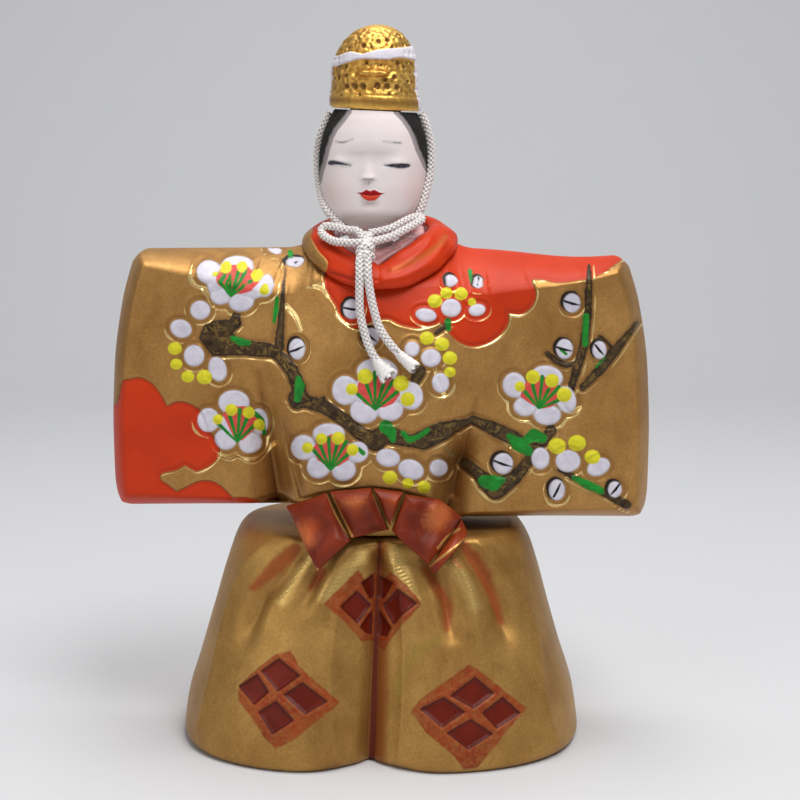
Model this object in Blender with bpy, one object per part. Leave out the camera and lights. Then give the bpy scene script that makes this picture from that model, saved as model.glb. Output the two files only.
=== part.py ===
"""A standing emperor doll of painted earthenware, modelled as the pieces it is put together from.

Metres, +Z up, the doll faces -Y and stands on the plane z = 0. Its own right side is at -X.
"""

import math

import bmesh
import bpy
from mathutils import Vector

for leftover in list(bpy.data.objects):
    bpy.data.objects.remove(leftover, do_unlink=True)


# Driving sizes

JOINT_GAP = 0.0003
OVERRUN = 0.0030

# Trousers: a bell that is open underneath and at its neck
HAKAMA_HALF_WIDTH = 0.0482
HAKAMA_HALF_DEPTH = 0.0418
HAKAMA_HEIGHT = 0.0511
HAKAMA_WALL = 0.0048
HAKAMA_SQUARENESS = 2.75
HAKAMA_EDGE_ROUNDING = 0.0040
# height, half width and half depth at the front and at the back
HAKAMA_SHARES = (
    (0.00, 1.000, 1.000, 0.982),
    (0.18, 0.975, 0.965, 0.925),
    (0.40, 0.905, 0.885, 0.825),
    (0.62, 0.835, 0.790, 0.725),
    (0.80, 0.780, 0.710, 0.660),
    (0.92, 0.735, 0.655, 0.615),
    (0.98, 0.690, 0.620, 0.575),
    (1.00, 0.620, 0.580, 0.525),
)
# rounding of the foot's rim: height and inset, as shares of the rounding
HAKAMA_ROUNDING_SHARES = ((0.0, 0.55), (0.22, 0.18), (0.62, 0.0))
HAKAMA_LEVEL_SHARES = (0.08, 0.18, 0.30, 0.42, 0.54, 0.66, 0.77, 0.86, 0.93, 0.975, 1.00)
# columns from the middle out, for the outside and for the hollow, and the hollow's levels
HAKAMA_COLUMN_SHARES = (0.0, 0.045, 0.11, 0.20, 0.31, 0.43, 0.56, 0.69, 0.81, 0.905, 0.97, 0.995)
HAKAMA_BACK_COLUMN_SHARES = (
    0.0, 0.09, 0.125, 0.16, 0.195, 0.235, 0.31, 0.385, 0.425, 0.46, 0.495, 0.535, 0.61, 0.685, 0.725, 0.76, 0.795, 0.84,
    0.92, 0.98,
)
HOLLOW_COLUMN_SHARES = (0.0, 0.10, 0.30, 0.55, 0.80, 0.96)
HOLLOW_BACK_COLUMN_SHARES = (0.0, 0.25, 0.60, 0.90)
HOLLOW_LEVEL_SHARES = (0.0, 0.20, 0.45, 0.68, 0.85)
HOLLOW_SPARE = 0.0038
HAKAMA_NECK_HALF_WIDTH = 0.0132
HAKAMA_NECK_HALF_DEPTH = 0.0125
HAKAMA_NECK_RISE = 0.0050
HAKAMA_NECK_WALL = 0.0035

# The crease between the two trouser legs, at the front
CREASE_TOP_X = 0.0002
CREASE_FOOT_X = -0.0025
CREASE_BROAD_DEPTH = 0.0074
CREASE_BROAD_WIDTH = 0.0095
CREASE_TOP_SHARE = 0.32
CREASE_NARROW_DEPTH = 0.0026
CREASE_NARROW_WIDTH = 0.0022

# Pleats that run down from the bow: foot and head of each, as shares of the half width and the height
PLEAT_DEPTH = 0.0017
PLEAT_WIDTH = 0.0020
PLEAT_FADE_SHARE = 0.22
PLEAT_RUN_SHARE = 0.60
RELIEF_TOP_SHARE = 0.12
PLEAT_SHARES = (
    ((-0.64, 0.72), (-0.42, 0.98)),
    ((-0.31, 0.80), (-0.22, 0.97)),
    ((0.33, 0.56), (0.21, 0.95)),
    ((0.62, 0.58), (0.40, 0.98)),
)

# Folds of the cloth behind, on both sides of a plain middle panel: places across the half width
BACK_FOLD_SHARES = (0.16, 0.46, 0.76)
BACK_FOLD_DEPTH = 0.0016
BACK_FOLD_WIDTH = 0.0030
BACK_FOLD_TOP_SHARE = 0.55

# Robe
SHOULDER_HEIGHT = 0.1168
NECK_RISE = 0.0045
NECK_STUMP = 0.0022
NECK_HALF_WIDTH = 0.0140
NECK_FLAT_SHARE = 0.6
SLEEVE_REACH = 0.0645
SLEEVE_RISE_RIGHT = 0.0034
SLEEVE_RISE_LEFT = 0.0004
SLEEVE_CORNER_RADIUS = 0.0034
SLEEVE_BEVEL = 0.0040
SLEEVE_FOOT_BEVEL = 0.0016
SLEEVE_TOP_BEVEL = 0.0026
SHOULDER_BEVEL = 0.0095
BEVEL_ROUNDNESS = 1.45
# rows of the shoulder's bevel and columns of the sleeve's bevels, as shares of each
SHOULDER_ROW_SHARES = (1.0, 0.35, 0.06, 0.0)
BEVEL_ROW_SHARES = (0.0, 0.10, 0.45, 1.0)
FOLD_COLUMN_SHARES = (0.0, 0.5, 1.2)
SLEEVE_MIDDLE_COLUMNS = 4
# where the sleeve's outer edge lies, by share of the way up
SLEEVE_EDGE_SHARES = ((0.0, 0.982), (0.12, 0.998), (0.30, 1.0), (0.55, 0.990), (0.80, 0.955), (1.0, 0.900))
SLEEVE_FRONT_INNER = 0.0165
SLEEVE_FRONT_OUTER = 0.0125
SLEEVE_BACK_INNER = 0.0095
SLEEVE_BACK_OUTER = 0.0060

CHEST_FRONT = 0.0252
CHEST_BACK = 0.0200
CHEST_HALF_WIDTH = 0.0335
CHEST_SQUARENESS = 2.3
CHEST_COLUMN_SHARES = (0.0, 0.16, 0.33, 0.50, 0.66, 0.80, 0.91, 1.0)
BLEND_POWER = 7.0
# height, front depth, back depth, half width, from the robe's foot to the neck
CHEST_SHARES = (
    (0.00, 0.930, 0.980, 0.800),
    (0.15, 0.975, 1.000, 0.840),
    (0.35, 1.000, 0.990, 0.930),
    (0.55, 0.970, 0.930, 1.000),
    (0.72, 0.870, 0.860, 0.990),
    (0.85, 0.740, 0.760, 0.900),
    (0.94, 0.610, 0.660, 0.760),
    (1.00, 0.500, 0.560, 0.640),
)

# The line where a sleeve meets the chest, by share of the way up the robe, and the fold along its lower half
SEAM_HALF_WIDTH = 0.0262
SEAM_SHARES = ((0.00, 0.660), (0.50, 1.000), (0.80, 0.980), (1.00, 0.860))
ROBE_LEVEL_SHARES = (0.10, 0.20, 0.30, 0.40, 0.50, 0.60, 0.70, 0.80)
FOLD_DEPTH = 0.0085
FOLD_WIDTH = 0.0042
FOLD_TOP_SHARE = 0.52

# The hollow in the robe's body, which the trousers' neck stands in
LUTING_CLEARANCE = 0.0009
CHEST_HOLLOW_ROOF = 0.0238
# height and size of the hollow's levels
CHEST_HOLLOW_SHARES = ((0.0, 1.0), (0.55, 1.0), (0.80, 0.86), (0.94, 0.60), (1.0, 0.25))
CHEST_HOLLOW_SIDES = 20

# Head, tilted a little and turned a little to the doll's right
HEAD_X = -0.0028
HEAD_Y = 0.0005
ROUND_SIDES = 28
HEAD_TILT = math.radians(2.6)
HEAD_TURN = math.radians(-3.0)
CHIN_RISE = 0.0035
HEAD_RISE = 0.0287
HEAD_HALF_WIDTH = 0.0128
HEAD_HALF_DEPTH = 0.0136
HEAD_SQUARENESS = 2.15
# rise from the chin, half width, front depth and back depth
HEAD_SHARES = (
    (0.00, 0.24, 0.66, -0.05),
    (0.03, 0.44, 0.75, 0.08),
    (0.12, 0.71, 0.87, 0.38),
    (0.26, 0.885, 0.945, 0.70),
    (0.42, 0.965, 0.980, 0.90),
    (0.60, 1.000, 0.985, 0.98),
    (0.80, 0.940, 0.950, 1.00),
    (0.92, 0.840, 0.890, 0.96),
    (1.00, 0.760, 0.800, 0.88),
)
HEAD_LEVEL_SHARES = (0.0, 0.05, 0.12, 0.22, 0.34, 0.47, 0.60, 0.73, 0.85, 0.94, 1.0)
NECK_RADIUS = 0.0062
NECK_WELL_DEPTH = 0.0023
NECK_WELL_CLEARANCE = 0.0008
JAW_SHARE = 0.35

PEG_RADIUS = 0.0030
PEG_CLEARANCE = 0.0003
PEG_SIDES = 16
PEG_IN_BODY = 0.0160
PEG_IN_HEAD = 0.0120

# Cap
CAP_HALF_WIDTH = 0.0105
CAP_HALF_DEPTH = 0.0112
CAP_RISE = 0.0200
CAP_SHARES = (
    (0.00, 0.975),
    (0.03, 1.000),
    (0.17, 1.000),
    (0.22, 0.965),
    (0.45, 0.945),
    (0.62, 0.900),
    (0.76, 0.790),
    (0.87, 0.630),
    (0.95, 0.410),
    (0.99, 0.190),
)
CAP_SIDES = 32
CAP_SPIGOT_RADIUS = 0.0060
CAP_SPIGOT_RISE = 0.0030

# Collars, as bands between an inner and an outer edge
COLLAR_X = -0.0003
COLLAR_INNER_HALF_WIDTH = 0.0117
COLLAR_INNER_FRONT = 0.0150
COLLAR_INNER_BACK = 0.0125
COLLAR_OUTER_HALF_WIDTH = 0.0183
COLLAR_OUTER_FRONT = 0.0212
COLLAR_OUTER_BACK = 0.0172
# heights over the shoulder
COLLAR_INNER_SIDE_RISE = 0.0044
COLLAR_INNER_BACK_RISE = 0.0072
COLLAR_V_RISE = -0.0036
COLLAR_OUTER_FRONT_RISE = -0.0085
COLLAR_OUTER_SIDE_RISE = 0.0004
COLLAR_OUTER_BACK_RISE = 0.0027
COLLAR_V_POWER = 0.9
COLLAR_FRONT_POWER = 1.6
COLLAR_THICKNESS = 0.0024
COLLAR_UNDERSIDE = 0.0008
COLLAR_SEAT_GAP = 0.0006
COLLAR_SIDES = 36
# place across the band and height over it, as shares of its width and thickness
COLLAR_PROFILE_SHARES = (
    (0.0, 0.35), (0.16, 0.80), (0.48, 1.0), (0.80, 0.85), (1.0, 0.35), (0.86, -1.0), (0.14, -1.0),
)
UNDER_COLLAR_CLEARANCE = 0.0014
UNDER_COLLAR_INNER_RISE = 0.0024
UNDER_COLLAR_FRONT_RISE = -0.0006
UNDER_COLLAR_THICKNESS = 0.0012
UNDER_COLLAR_TUCK = 0.0012

# Sash bow, laid over the front of the waist
BOW_X = -0.0010
BOW_DROP = 0.0071
BOW_WIDTH = 0.0430
BOW_RISE = 0.0196
BOW_THICKNESS = 0.0034
BOW_KNOT_THICKNESS = 0.0042
BOW_EDGE_SHARE = 0.45
BOW_STEP_SHARES = (0.0, 0.12, 0.5, 0.88, 1.0)
BOW_SEARCH = 0.0022
BOW_SEARCH_STEPS = 3
BOW_SEAT_GAP = 0.0006
# lower and upper edge of each piece, in shares of the bow's width from its middle and of its rise
BOW_SHARES = {
    "sash_right_loop": (((-0.309, 0.05), (-0.137, 0.39)), ((-0.488, 0.71), (-0.265, 0.93))),
    "sash_knot": (((-0.135, 0.41), (0.059, 0.54)), ((-0.245, 0.94), (-0.027, 1.00))),
    "sash_fold": (((0.074, 0.575), (0.080, 0.575)), ((-0.010, 0.99), (0.141, 0.94))),
    "sash_left_loop": (((0.098, 0.50), (0.277, 0.11)), ((0.159, 0.92), (0.344, 0.84), (0.460, 0.60))),
    "sash_loop_mouth": (((0.309, 0.01), (0.491, 0.44)), ((0.280, 0.09), (0.458, 0.57))),
}

# Cord
CORD_DIAMETER = 0.0021
CORD_POINT_SPACING = 0.0026
ROUTE_STEPS = 16
CORD_BEVEL_RESOLUTION = 2

# Heights that follow
ROBE_FOOT = HAKAMA_HEIGHT + JOINT_GAP
ROBE_RISE = SHOULDER_HEIGHT - ROBE_FOOT
NECK_SEAT = SHOULDER_HEIGHT - NECK_WELL_DEPTH
HEAD_FOOT = NECK_SEAT + JOINT_GAP + NECK_RADIUS * math.sin(HEAD_TILT)
CHIN_HEIGHT = SHOULDER_HEIGHT + CHIN_RISE
HEAD_TOP = CHIN_HEIGHT + HEAD_RISE
BOW_FOOT = HAKAMA_HEIGHT - BOW_DROP

FULL_TURN = 2.0 * math.pi
SHARP_ANGLE = math.radians(40.0)


# Small helpers

def curve_value(table, place, column=1):
    """Reads a smooth value from a table of (place, value, ...) rows, without overshoot between them."""
    places = [row[0] for row in table]
    values = [row[column] for row in table]
    if place <= places[0]:
        return values[0]
    if place >= places[-1]:
        return values[-1]
    index = max(i for i, here in enumerate(places) if here <= place)
    slopes = [(values[i + 1] - values[i]) / (places[i + 1] - places[i]) for i in range(len(places) - 1)]

    def tangent(i):
        if i == 0:
            return slopes[0]
        if i == len(places) - 1:
            return slopes[-1]
        if slopes[i - 1] * slopes[i] <= 0.0:
            return 0.0
        return 2.0 * slopes[i - 1] * slopes[i] / (slopes[i - 1] + slopes[i])

    step = places[index + 1] - places[index]
    t = (place - places[index]) / step
    start, end = values[index], values[index + 1]
    return (
        start * (2 * t**3 - 3 * t**2 + 1)
        + tangent(index) * step * (t**3 - 2 * t**2 + t)
        + end * (3 * t**2 - 2 * t**3)
        + tangent(index + 1) * step * (t**3 - t**2)
    )


def mix(start, end, share):
    return start + (end - start) * share


def fade(share):
    share = min(max(share, 0.0), 1.0)
    return share * share * (3.0 - 2.0 * share)


def bump(distance, width):
    return math.exp(-((distance / width) ** 2))


def signed_power(value, power):
    return math.copysign(abs(value) ** power, value)


def painted(name, colour, roughness, metallic=0.0):
    finish = bpy.data.materials.new(name)
    finish.use_nodes = True
    shader = finish.node_tree.nodes["Principled BSDF"]
    shader.inputs["Base Color"].default_value = (*colour, 1.0)
    shader.inputs["Roughness"].default_value = roughness
    shader.inputs["Metallic"].default_value = metallic
    return finish


def mesh_piece(name, points, faces, finish, parent=None):
    mesh = bpy.data.meshes.new(name)
    mesh.from_pydata([tuple(p) for p in points], [], faces)
    shape = bmesh.new()
    shape.from_mesh(mesh)
    bmesh.ops.recalc_face_normals(shape, faces=shape.faces)
    shape.to_mesh(mesh)
    shape.free()
    mesh.shade_smooth()
    mesh.set_sharp_from_angle(angle=SHARP_ANGLE)
    mesh.materials.append(finish)
    piece = bpy.data.objects.new(name, mesh)
    bpy.context.collection.objects.link(piece)
    piece.parent = parent
    return piece


def rings_faces(ring_count, ring_size, closed_path=False):
    """Side faces of a stack of rings, and the two end faces unless the stack closes on itself."""
    faces = []
    spans = ring_count if closed_path else ring_count - 1
    for r in range(spans):
        low = r * ring_size
        high = ((r + 1) % ring_count) * ring_size
        for i in range(ring_size):
            j = (i + 1) % ring_size
            faces.append((low + i, low + j, high + j, high + i))
    if not closed_path:
        faces.append(tuple(range(ring_size)))
        faces.append(tuple(range((ring_count - 1) * ring_size, ring_count * ring_size)))
    return faces


def stacked(name, rings, finish, parent=None):
    points = [p for ring in rings for p in ring]
    return mesh_piece(name, points, rings_faces(len(rings), len(rings[0])), finish, parent)


def cutter(piece):
    piece.hide_render = True
    piece.display_type = "WIRE"
    return piece


def cut(piece, tool):
    away = piece.modifiers.new("cut_" + tool.name, "BOOLEAN")
    away.operation = "DIFFERENCE"
    away.solver = "EXACT"
    away.object = tool


def round_ring(half_width, half_depth, z, sides, turn_share=0.0):
    """A level ring of points on an oval round the middle line."""
    ring = []
    for i in range(sides):
        angle = FULL_TURN * (i + turn_share) / sides
        ring.append((half_width * math.cos(angle), half_depth * math.sin(angle), z))
    return ring


def drum(name, low, high, radius, sides, finish, parent):
    rings = [round_ring(radius, radius, z, sides) for z in (low, high)]
    return stacked(name, rings, finish, parent)


# Finishes

GOLD = painted("gold", (0.55, 0.36, 0.13), 0.36, 0.85)
TROUSER_GOLD = painted("trouser_gold", (0.48, 0.34, 0.13), 0.34, 0.85)
CAP_GOLD = painted("cap_gold", (0.72, 0.46, 0.12), 0.22, 0.95)
RED = painted("red", (0.62, 0.06, 0.02), 0.45)
PINK = painted("pink", (0.78, 0.38, 0.42), 0.25)
RUSSET = painted("russet", (0.30, 0.07, 0.02), 0.45)
WHITE = painted("white", (0.82, 0.77, 0.75), 0.6)
CORD_WHITE = painted("cord_white", (0.86, 0.84, 0.81), 0.8)
WOOD = painted("wood", (0.55, 0.38, 0.22), 0.6)


# Trousers

def crease_x(z):
    return mix(CREASE_FOOT_X, CREASE_TOP_X, z / HAKAMA_HEIGHT)


def leg_relief(x, z, spare=0.0):
    """How far the front lies back from the plain bell at x and z, for the crease and the pleats."""
    up = z / HAKAMA_HEIGHT
    off = max(abs(x - crease_x(z)) - spare, 0.0)
    depth = CREASE_BROAD_DEPTH * mix(1.0, CREASE_TOP_SHARE, up) * bump(off, CREASE_BROAD_WIDTH)
    depth += CREASE_NARROW_DEPTH * bump(off, CREASE_NARROW_WIDTH)
    for (foot_x, foot_z), (head_x, head_z) in PLEAT_SHARES:
        along = (up - foot_z) / (head_z - foot_z)
        line = HAKAMA_HALF_WIDTH * mix(foot_x, head_x, along)
        window = fade((along + PLEAT_FADE_SHARE) / PLEAT_RUN_SHARE)
        window *= fade((1.0 + PLEAT_FADE_SHARE - along) / PLEAT_RUN_SHARE)
        depth += PLEAT_DEPTH * window * bump(x - line, PLEAT_WIDTH)
    return depth * fade((1.0 - up) / RELIEF_TOP_SHARE)


def hakama_sizes(z, inset=0.0):
    up = z / HAKAMA_HEIGHT
    width = HAKAMA_HALF_WIDTH * curve_value(HAKAMA_SHARES, up, 1) - inset
    front = HAKAMA_HALF_DEPTH * curve_value(HAKAMA_SHARES, up, 2) - inset
    back = HAKAMA_HALF_DEPTH * curve_value(HAKAMA_SHARES, up, 3) - inset
    return width, front, back


def hakama_front(x, z, inset=0.0, spare=0.0):
    width, front, _ = hakama_sizes(z, inset)
    across = min(abs(x) / width, 1.0)
    plain = front * (1.0 - across**HAKAMA_SQUARENESS) ** (1.0 / HAKAMA_SQUARENESS)
    return -plain + leg_relief(x, z, spare) * (1.0 - across**4)


def hakama_back(x, z, inset=0.0, folded=True):
    width, _, back = hakama_sizes(z, inset)
    across = min(abs(x) / width, 1.0)
    plain = back * (1.0 - across**HAKAMA_SQUARENESS) ** (1.0 / HAKAMA_SQUARENESS)
    if not folded:
        return plain
    up = z / HAKAMA_HEIGHT
    depth = BACK_FOLD_DEPTH * mix(1.0, BACK_FOLD_TOP_SHARE, up) * fade((1.0 - up) / RELIEF_TOP_SHARE)
    return plain - depth * sum(bump(abs(x) - share * width, BACK_FOLD_WIDTH) for share in BACK_FOLD_SHARES)


def both_sides(shares):
    return [-share for share in reversed(shares[1:])] + list(shares)


def hakama_ring(z, columns, back_columns, inset=0.0, spare=0.0, folded=True):
    """One level of the bell, from the doll's right round its front. Columns crowd at the crease and the folds."""
    width, _, _ = hakama_sizes(z, inset)
    ring = [(-width, 0.0, z)]
    for share in both_sides(columns):
        x = share * width + crease_x(z) * (1.0 - abs(share))
        ring.append((x, hakama_front(x, z, inset, spare), z))
    ring.append((width, 0.0, z))
    for share in reversed(both_sides(back_columns)):
        x = share * width
        ring.append((x, hakama_back(x, z, inset, folded), z))
    return ring


def oval(half_width, half_depth, z, like):
    """An oval with a point for each point of another ring, in the same directions."""
    ring = []
    for x, y, _ in like:
        angle = math.atan2(y / half_depth, x / half_width)
        ring.append((half_width * math.cos(angle), half_depth * math.sin(angle), z))
    return ring


def make_hakama():
    rings = []
    outside = HAKAMA_COLUMN_SHARES, HAKAMA_BACK_COLUMN_SHARES
    for up, inset in HAKAMA_ROUNDING_SHARES:
        z = HAKAMA_EDGE_ROUNDING * up
        rings.append(hakama_ring(z, *outside, HAKAMA_EDGE_ROUNDING * inset))
    for share in HAKAMA_LEVEL_SHARES:
        rings.append(hakama_ring(HAKAMA_HEIGHT * share, *outside))
    top = rings[-1]
    neck_top = HAKAMA_HEIGHT + HAKAMA_NECK_RISE
    rings.append(oval(HAKAMA_NECK_HALF_WIDTH, HAKAMA_NECK_HALF_DEPTH, HAKAMA_HEIGHT, top))
    rings.append(oval(HAKAMA_NECK_HALF_WIDTH, HAKAMA_NECK_HALF_DEPTH, neck_top, top))
    hakama = stacked("hakama", rings, TROUSER_GOLD)

    roof = HAKAMA_HEIGHT - HAKAMA_WALL
    hollow = []
    inside = HOLLOW_COLUMN_SHARES, HOLLOW_BACK_COLUMN_SHARES
    for share in HOLLOW_LEVEL_SHARES:
        hollow.append(hakama_ring(roof * share, *inside, HAKAMA_WALL, HOLLOW_SPARE, folded=False))
    hollow.insert(0, [(x, y, -OVERRUN) for x, y, _ in hollow[0]])
    bore_width = HAKAMA_NECK_HALF_WIDTH - HAKAMA_NECK_WALL
    bore_depth = HAKAMA_NECK_HALF_DEPTH - HAKAMA_NECK_WALL
    for z in (roof, neck_top + OVERRUN):
        hollow.append(oval(bore_width, bore_depth, z, hollow[-1]))
    cut(hakama, cutter(stacked("hakama_hollow", hollow, TROUSER_GOLD)))
    return hakama


# Robe

def robe_share(z):
    return (z - ROBE_FOOT) / ROBE_RISE


def seam_x(z):
    """Straight from place to place, so that chest and sleeve follow the same line."""
    up = min(max(robe_share(z), 0.0), 1.0)
    for (low, low_size), (high, high_size) in zip(SEAM_SHARES, SEAM_SHARES[1:]):
        if up <= high:
            return SEAM_HALF_WIDTH * mix(low_size, high_size, (up - low) / (high - low))
    return SEAM_HALF_WIDTH * SEAM_SHARES[-1][1]


def robe_levels(foot, foot_edge):
    """Heights of a robe piece's rows: its foot's bevel, the shared levels and the shoulder's bevel."""
    levels = [foot + d for d in foot_edge]
    ceiling = SHOULDER_HEIGHT - SHOULDER_BEVEL
    for share in ROBE_LEVEL_SHARES:
        z = ROBE_FOOT + ROBE_RISE * share
        if levels[-1] + 0.2 * SLEEVE_BEVEL < z < ceiling:
            levels.append(z)
    for share in SHOULDER_ROW_SHARES:
        levels.append(SHOULDER_HEIGHT - SHOULDER_BEVEL * share)
    return levels


def fold_relief(s, z):
    """The fold between chest and sleeve: nothing at its head, deepest at the robe's foot."""
    down = 1.0 - robe_share(z) / FOLD_TOP_SHARE
    if down <= 0.0:
        return 0.0
    return FOLD_DEPTH * fade(down * 1.2) * bump(s - seam_x(z), FOLD_WIDTH)


def robe_depth(s, z, column, chest_size, inner, outer):
    """Depth of the robe at a distance s from its middle: the chest's swell blended into the sleeve."""
    up = robe_share(z)
    half = CHEST_HALF_WIDTH * curve_value(CHEST_SHARES, up, 3)
    swell = max(1.0 - (s / half) ** CHEST_SQUARENESS, 0.0) ** (1.0 / CHEST_SQUARENESS)
    chest = chest_size * curve_value(CHEST_SHARES, up, column) * swell
    out = min(max((s - SEAM_HALF_WIDTH) / (SLEEVE_REACH - SEAM_HALF_WIDTH), 0.0), 1.0)
    sleeve = mix(inner, outer, out) * fade(s / SEAM_HALF_WIDTH)
    return (chest**BLEND_POWER + sleeve**BLEND_POWER) ** (1.0 / BLEND_POWER)


def robe_front(x, z, folded=True):
    depth = robe_depth(abs(x), z, 1, CHEST_FRONT, SLEEVE_FRONT_INNER, SLEEVE_FRONT_OUTER)
    return fold_relief(abs(x), z) - depth if folded else -depth


def robe_back(x, z):
    return robe_depth(abs(x), z, 2, CHEST_BACK, SLEEVE_BACK_INNER, SLEEVE_BACK_OUTER)


def bevel_profile(distance, width):
    t = min(max(distance / width, 0.0), 1.0)
    return (1.0 - (1.0 - t) ** BEVEL_ROUNDNESS) ** (1.0 / BEVEL_ROUNDNESS)


def corner_moved(out_gap, top_gap):
    """Moves a point near a sleeve's square corner so that the corner is a quarter circle."""
    radius = SLEEVE_CORNER_RADIUS
    if out_gap >= radius or top_gap >= radius:
        return out_gap, top_gap
    a = 1.0 - out_gap / radius
    b = 1.0 - top_gap / radius
    round_a = a * math.sqrt(1.0 - b * b / 2.0)
    round_b = b * math.sqrt(1.0 - a * a / 2.0)
    return radius * (1.0 - round_a), radius * (1.0 - round_b)


def drawn_in(gap, row_width, width):
    """Draws the rows of a bevel in towards the edge where the bevel is narrower."""
    return gap * width / row_width if gap <= row_width else gap


def edge_distance(out_gap, end_gap):
    radius = SLEEVE_CORNER_RADIUS
    if out_gap < radius and end_gap < radius:
        return radius - math.hypot(radius - out_gap, radius - end_gap)
    return min(out_gap, end_gap)


def sleeve_columns(reach):
    """Distances from the seam out to the sleeve's edge, crowded at the fold and at the bevel."""
    near = [FOLD_WIDTH * share for share in FOLD_COLUMN_SHARES]
    far = [reach - SLEEVE_BEVEL * share for share in reversed(BEVEL_ROW_SHARES)]
    steps = SLEEVE_MIDDLE_COLUMNS
    middle = [mix(near[-1], far[0], i / steps) for i in range(1, steps)]
    return near + middle + far


def sleeve_grid(foot):
    """Front and back points of one sleeve, at +X, in rows from its foot up and columns from its seam out."""
    rise = SHOULDER_HEIGHT - foot
    rows = [z - foot for z in robe_levels(foot, [SLEEVE_BEVEL * share for share in BEVEL_ROW_SHARES])]
    reach = SLEEVE_REACH - SEAM_HALF_WIDTH
    columns = sleeve_columns(reach)
    front, back = [], []
    for row in rows:
        z = foot + row
        inner = seam_x(z) + JOINT_GAP / 2.0
        outer = SLEEVE_REACH * curve_value(SLEEVE_EDGE_SHARES, row / rise)
        for column in columns:
            out = column / reach
            x = mix(inner, outer, out)
            out_gap = outer - x
            foot_gap, top_gap = row, rise - row
            if top_gap < foot_gap:
                width = mix(SHOULDER_BEVEL, SLEEVE_TOP_BEVEL, out)
                out_gap, end_gap = corner_moved(out_gap, drawn_in(top_gap, SHOULDER_BEVEL, width))
                place = SHOULDER_HEIGHT - end_gap
            else:
                width = mix(SLEEVE_BEVEL, SLEEVE_FOOT_BEVEL, out)
                out_gap, end_gap = corner_moved(out_gap, drawn_in(foot_gap, SLEEVE_BEVEL, width))
                place = foot + end_gap
            spot = outer - out_gap
            height = min(bevel_profile(end_gap, width), bevel_profile(out_gap, SLEEVE_BEVEL))
            if out_gap < SLEEVE_CORNER_RADIUS and end_gap < SLEEVE_CORNER_RADIUS:
                height = bevel_profile(edge_distance(out_gap, end_gap), SLEEVE_BEVEL)
            middle = mix(0.0, (SLEEVE_BACK_OUTER - SLEEVE_FRONT_OUTER) / 2.0, out)
            front.append((spot, mix(middle, robe_front(spot, place), height), place))
            back.append((spot, mix(middle, robe_back(spot, place), height), place))
    return front, back, len(rows), len(columns)


def slab(name, front, back, rows, columns, finish, open_sides):
    """Closes two grids of points into one solid. They share an edge, except where a side wall is named."""
    points = list(front)
    index = {}
    for r in range(rows):
        for c in range(columns):
            shared = False
            if r == 0 and "foot" not in open_sides:
                shared = True
            if r == rows - 1 and "top" not in open_sides:
                shared = True
            if c == columns - 1 and "outer" not in open_sides:
                shared = True
            if c == 0 and "inner" not in open_sides:
                shared = True
            if shared:
                index[r, c] = r * columns + c
            else:
                index[r, c] = len(points)
                points.append(back[r * columns + c])
    faces = []
    for r in range(rows - 1):
        for c in range(columns - 1):
            a = r * columns + c
            faces.append((a, a + 1, a + columns + 1, a + columns))
            faces.append((index[r, c], index[r + 1, c], index[r + 1, c + 1], index[r, c + 1]))
    rim = [(r, 0) for r in range(rows)] + [(rows - 1, c) for c in range(1, columns)]
    rim += [(r, columns - 1) for r in range(rows - 2, -1, -1)] + [(0, c) for c in range(columns - 2, 0, -1)]
    for (r0, c0), (r1, c1) in zip(rim, rim[1:] + rim[:1]):
        ahead = [r0 * columns + c0, r1 * columns + c1]
        behind = [index[r1, c1], index[r0, c0]]
        wall = []
        for corner in ahead + behind:
            if corner not in wall:
                wall.append(corner)
        if len(wall) > 2:
            faces.append(tuple(wall))
    return mesh_piece(name, points, faces, finish)


def make_sleeve(name, side, foot):
    front, back, rows, columns = sleeve_grid(foot)
    front = [(side * x, y, z) for x, y, z in front]
    back = [(side * x, y, z) for x, y, z in back]
    return slab(name, front, back, rows, columns, GOLD, ("inner",))


def robe_top(s):
    """Height of the robe's upper edge: the neck's stump, then the shoulder."""
    slope = NECK_RISE * fade(1.0 - (s - NECK_FLAT_SHARE * NECK_HALF_WIDTH) / NECK_HALF_WIDTH)
    return SHOULDER_HEIGHT + min(slope, NECK_STUMP)


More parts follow.
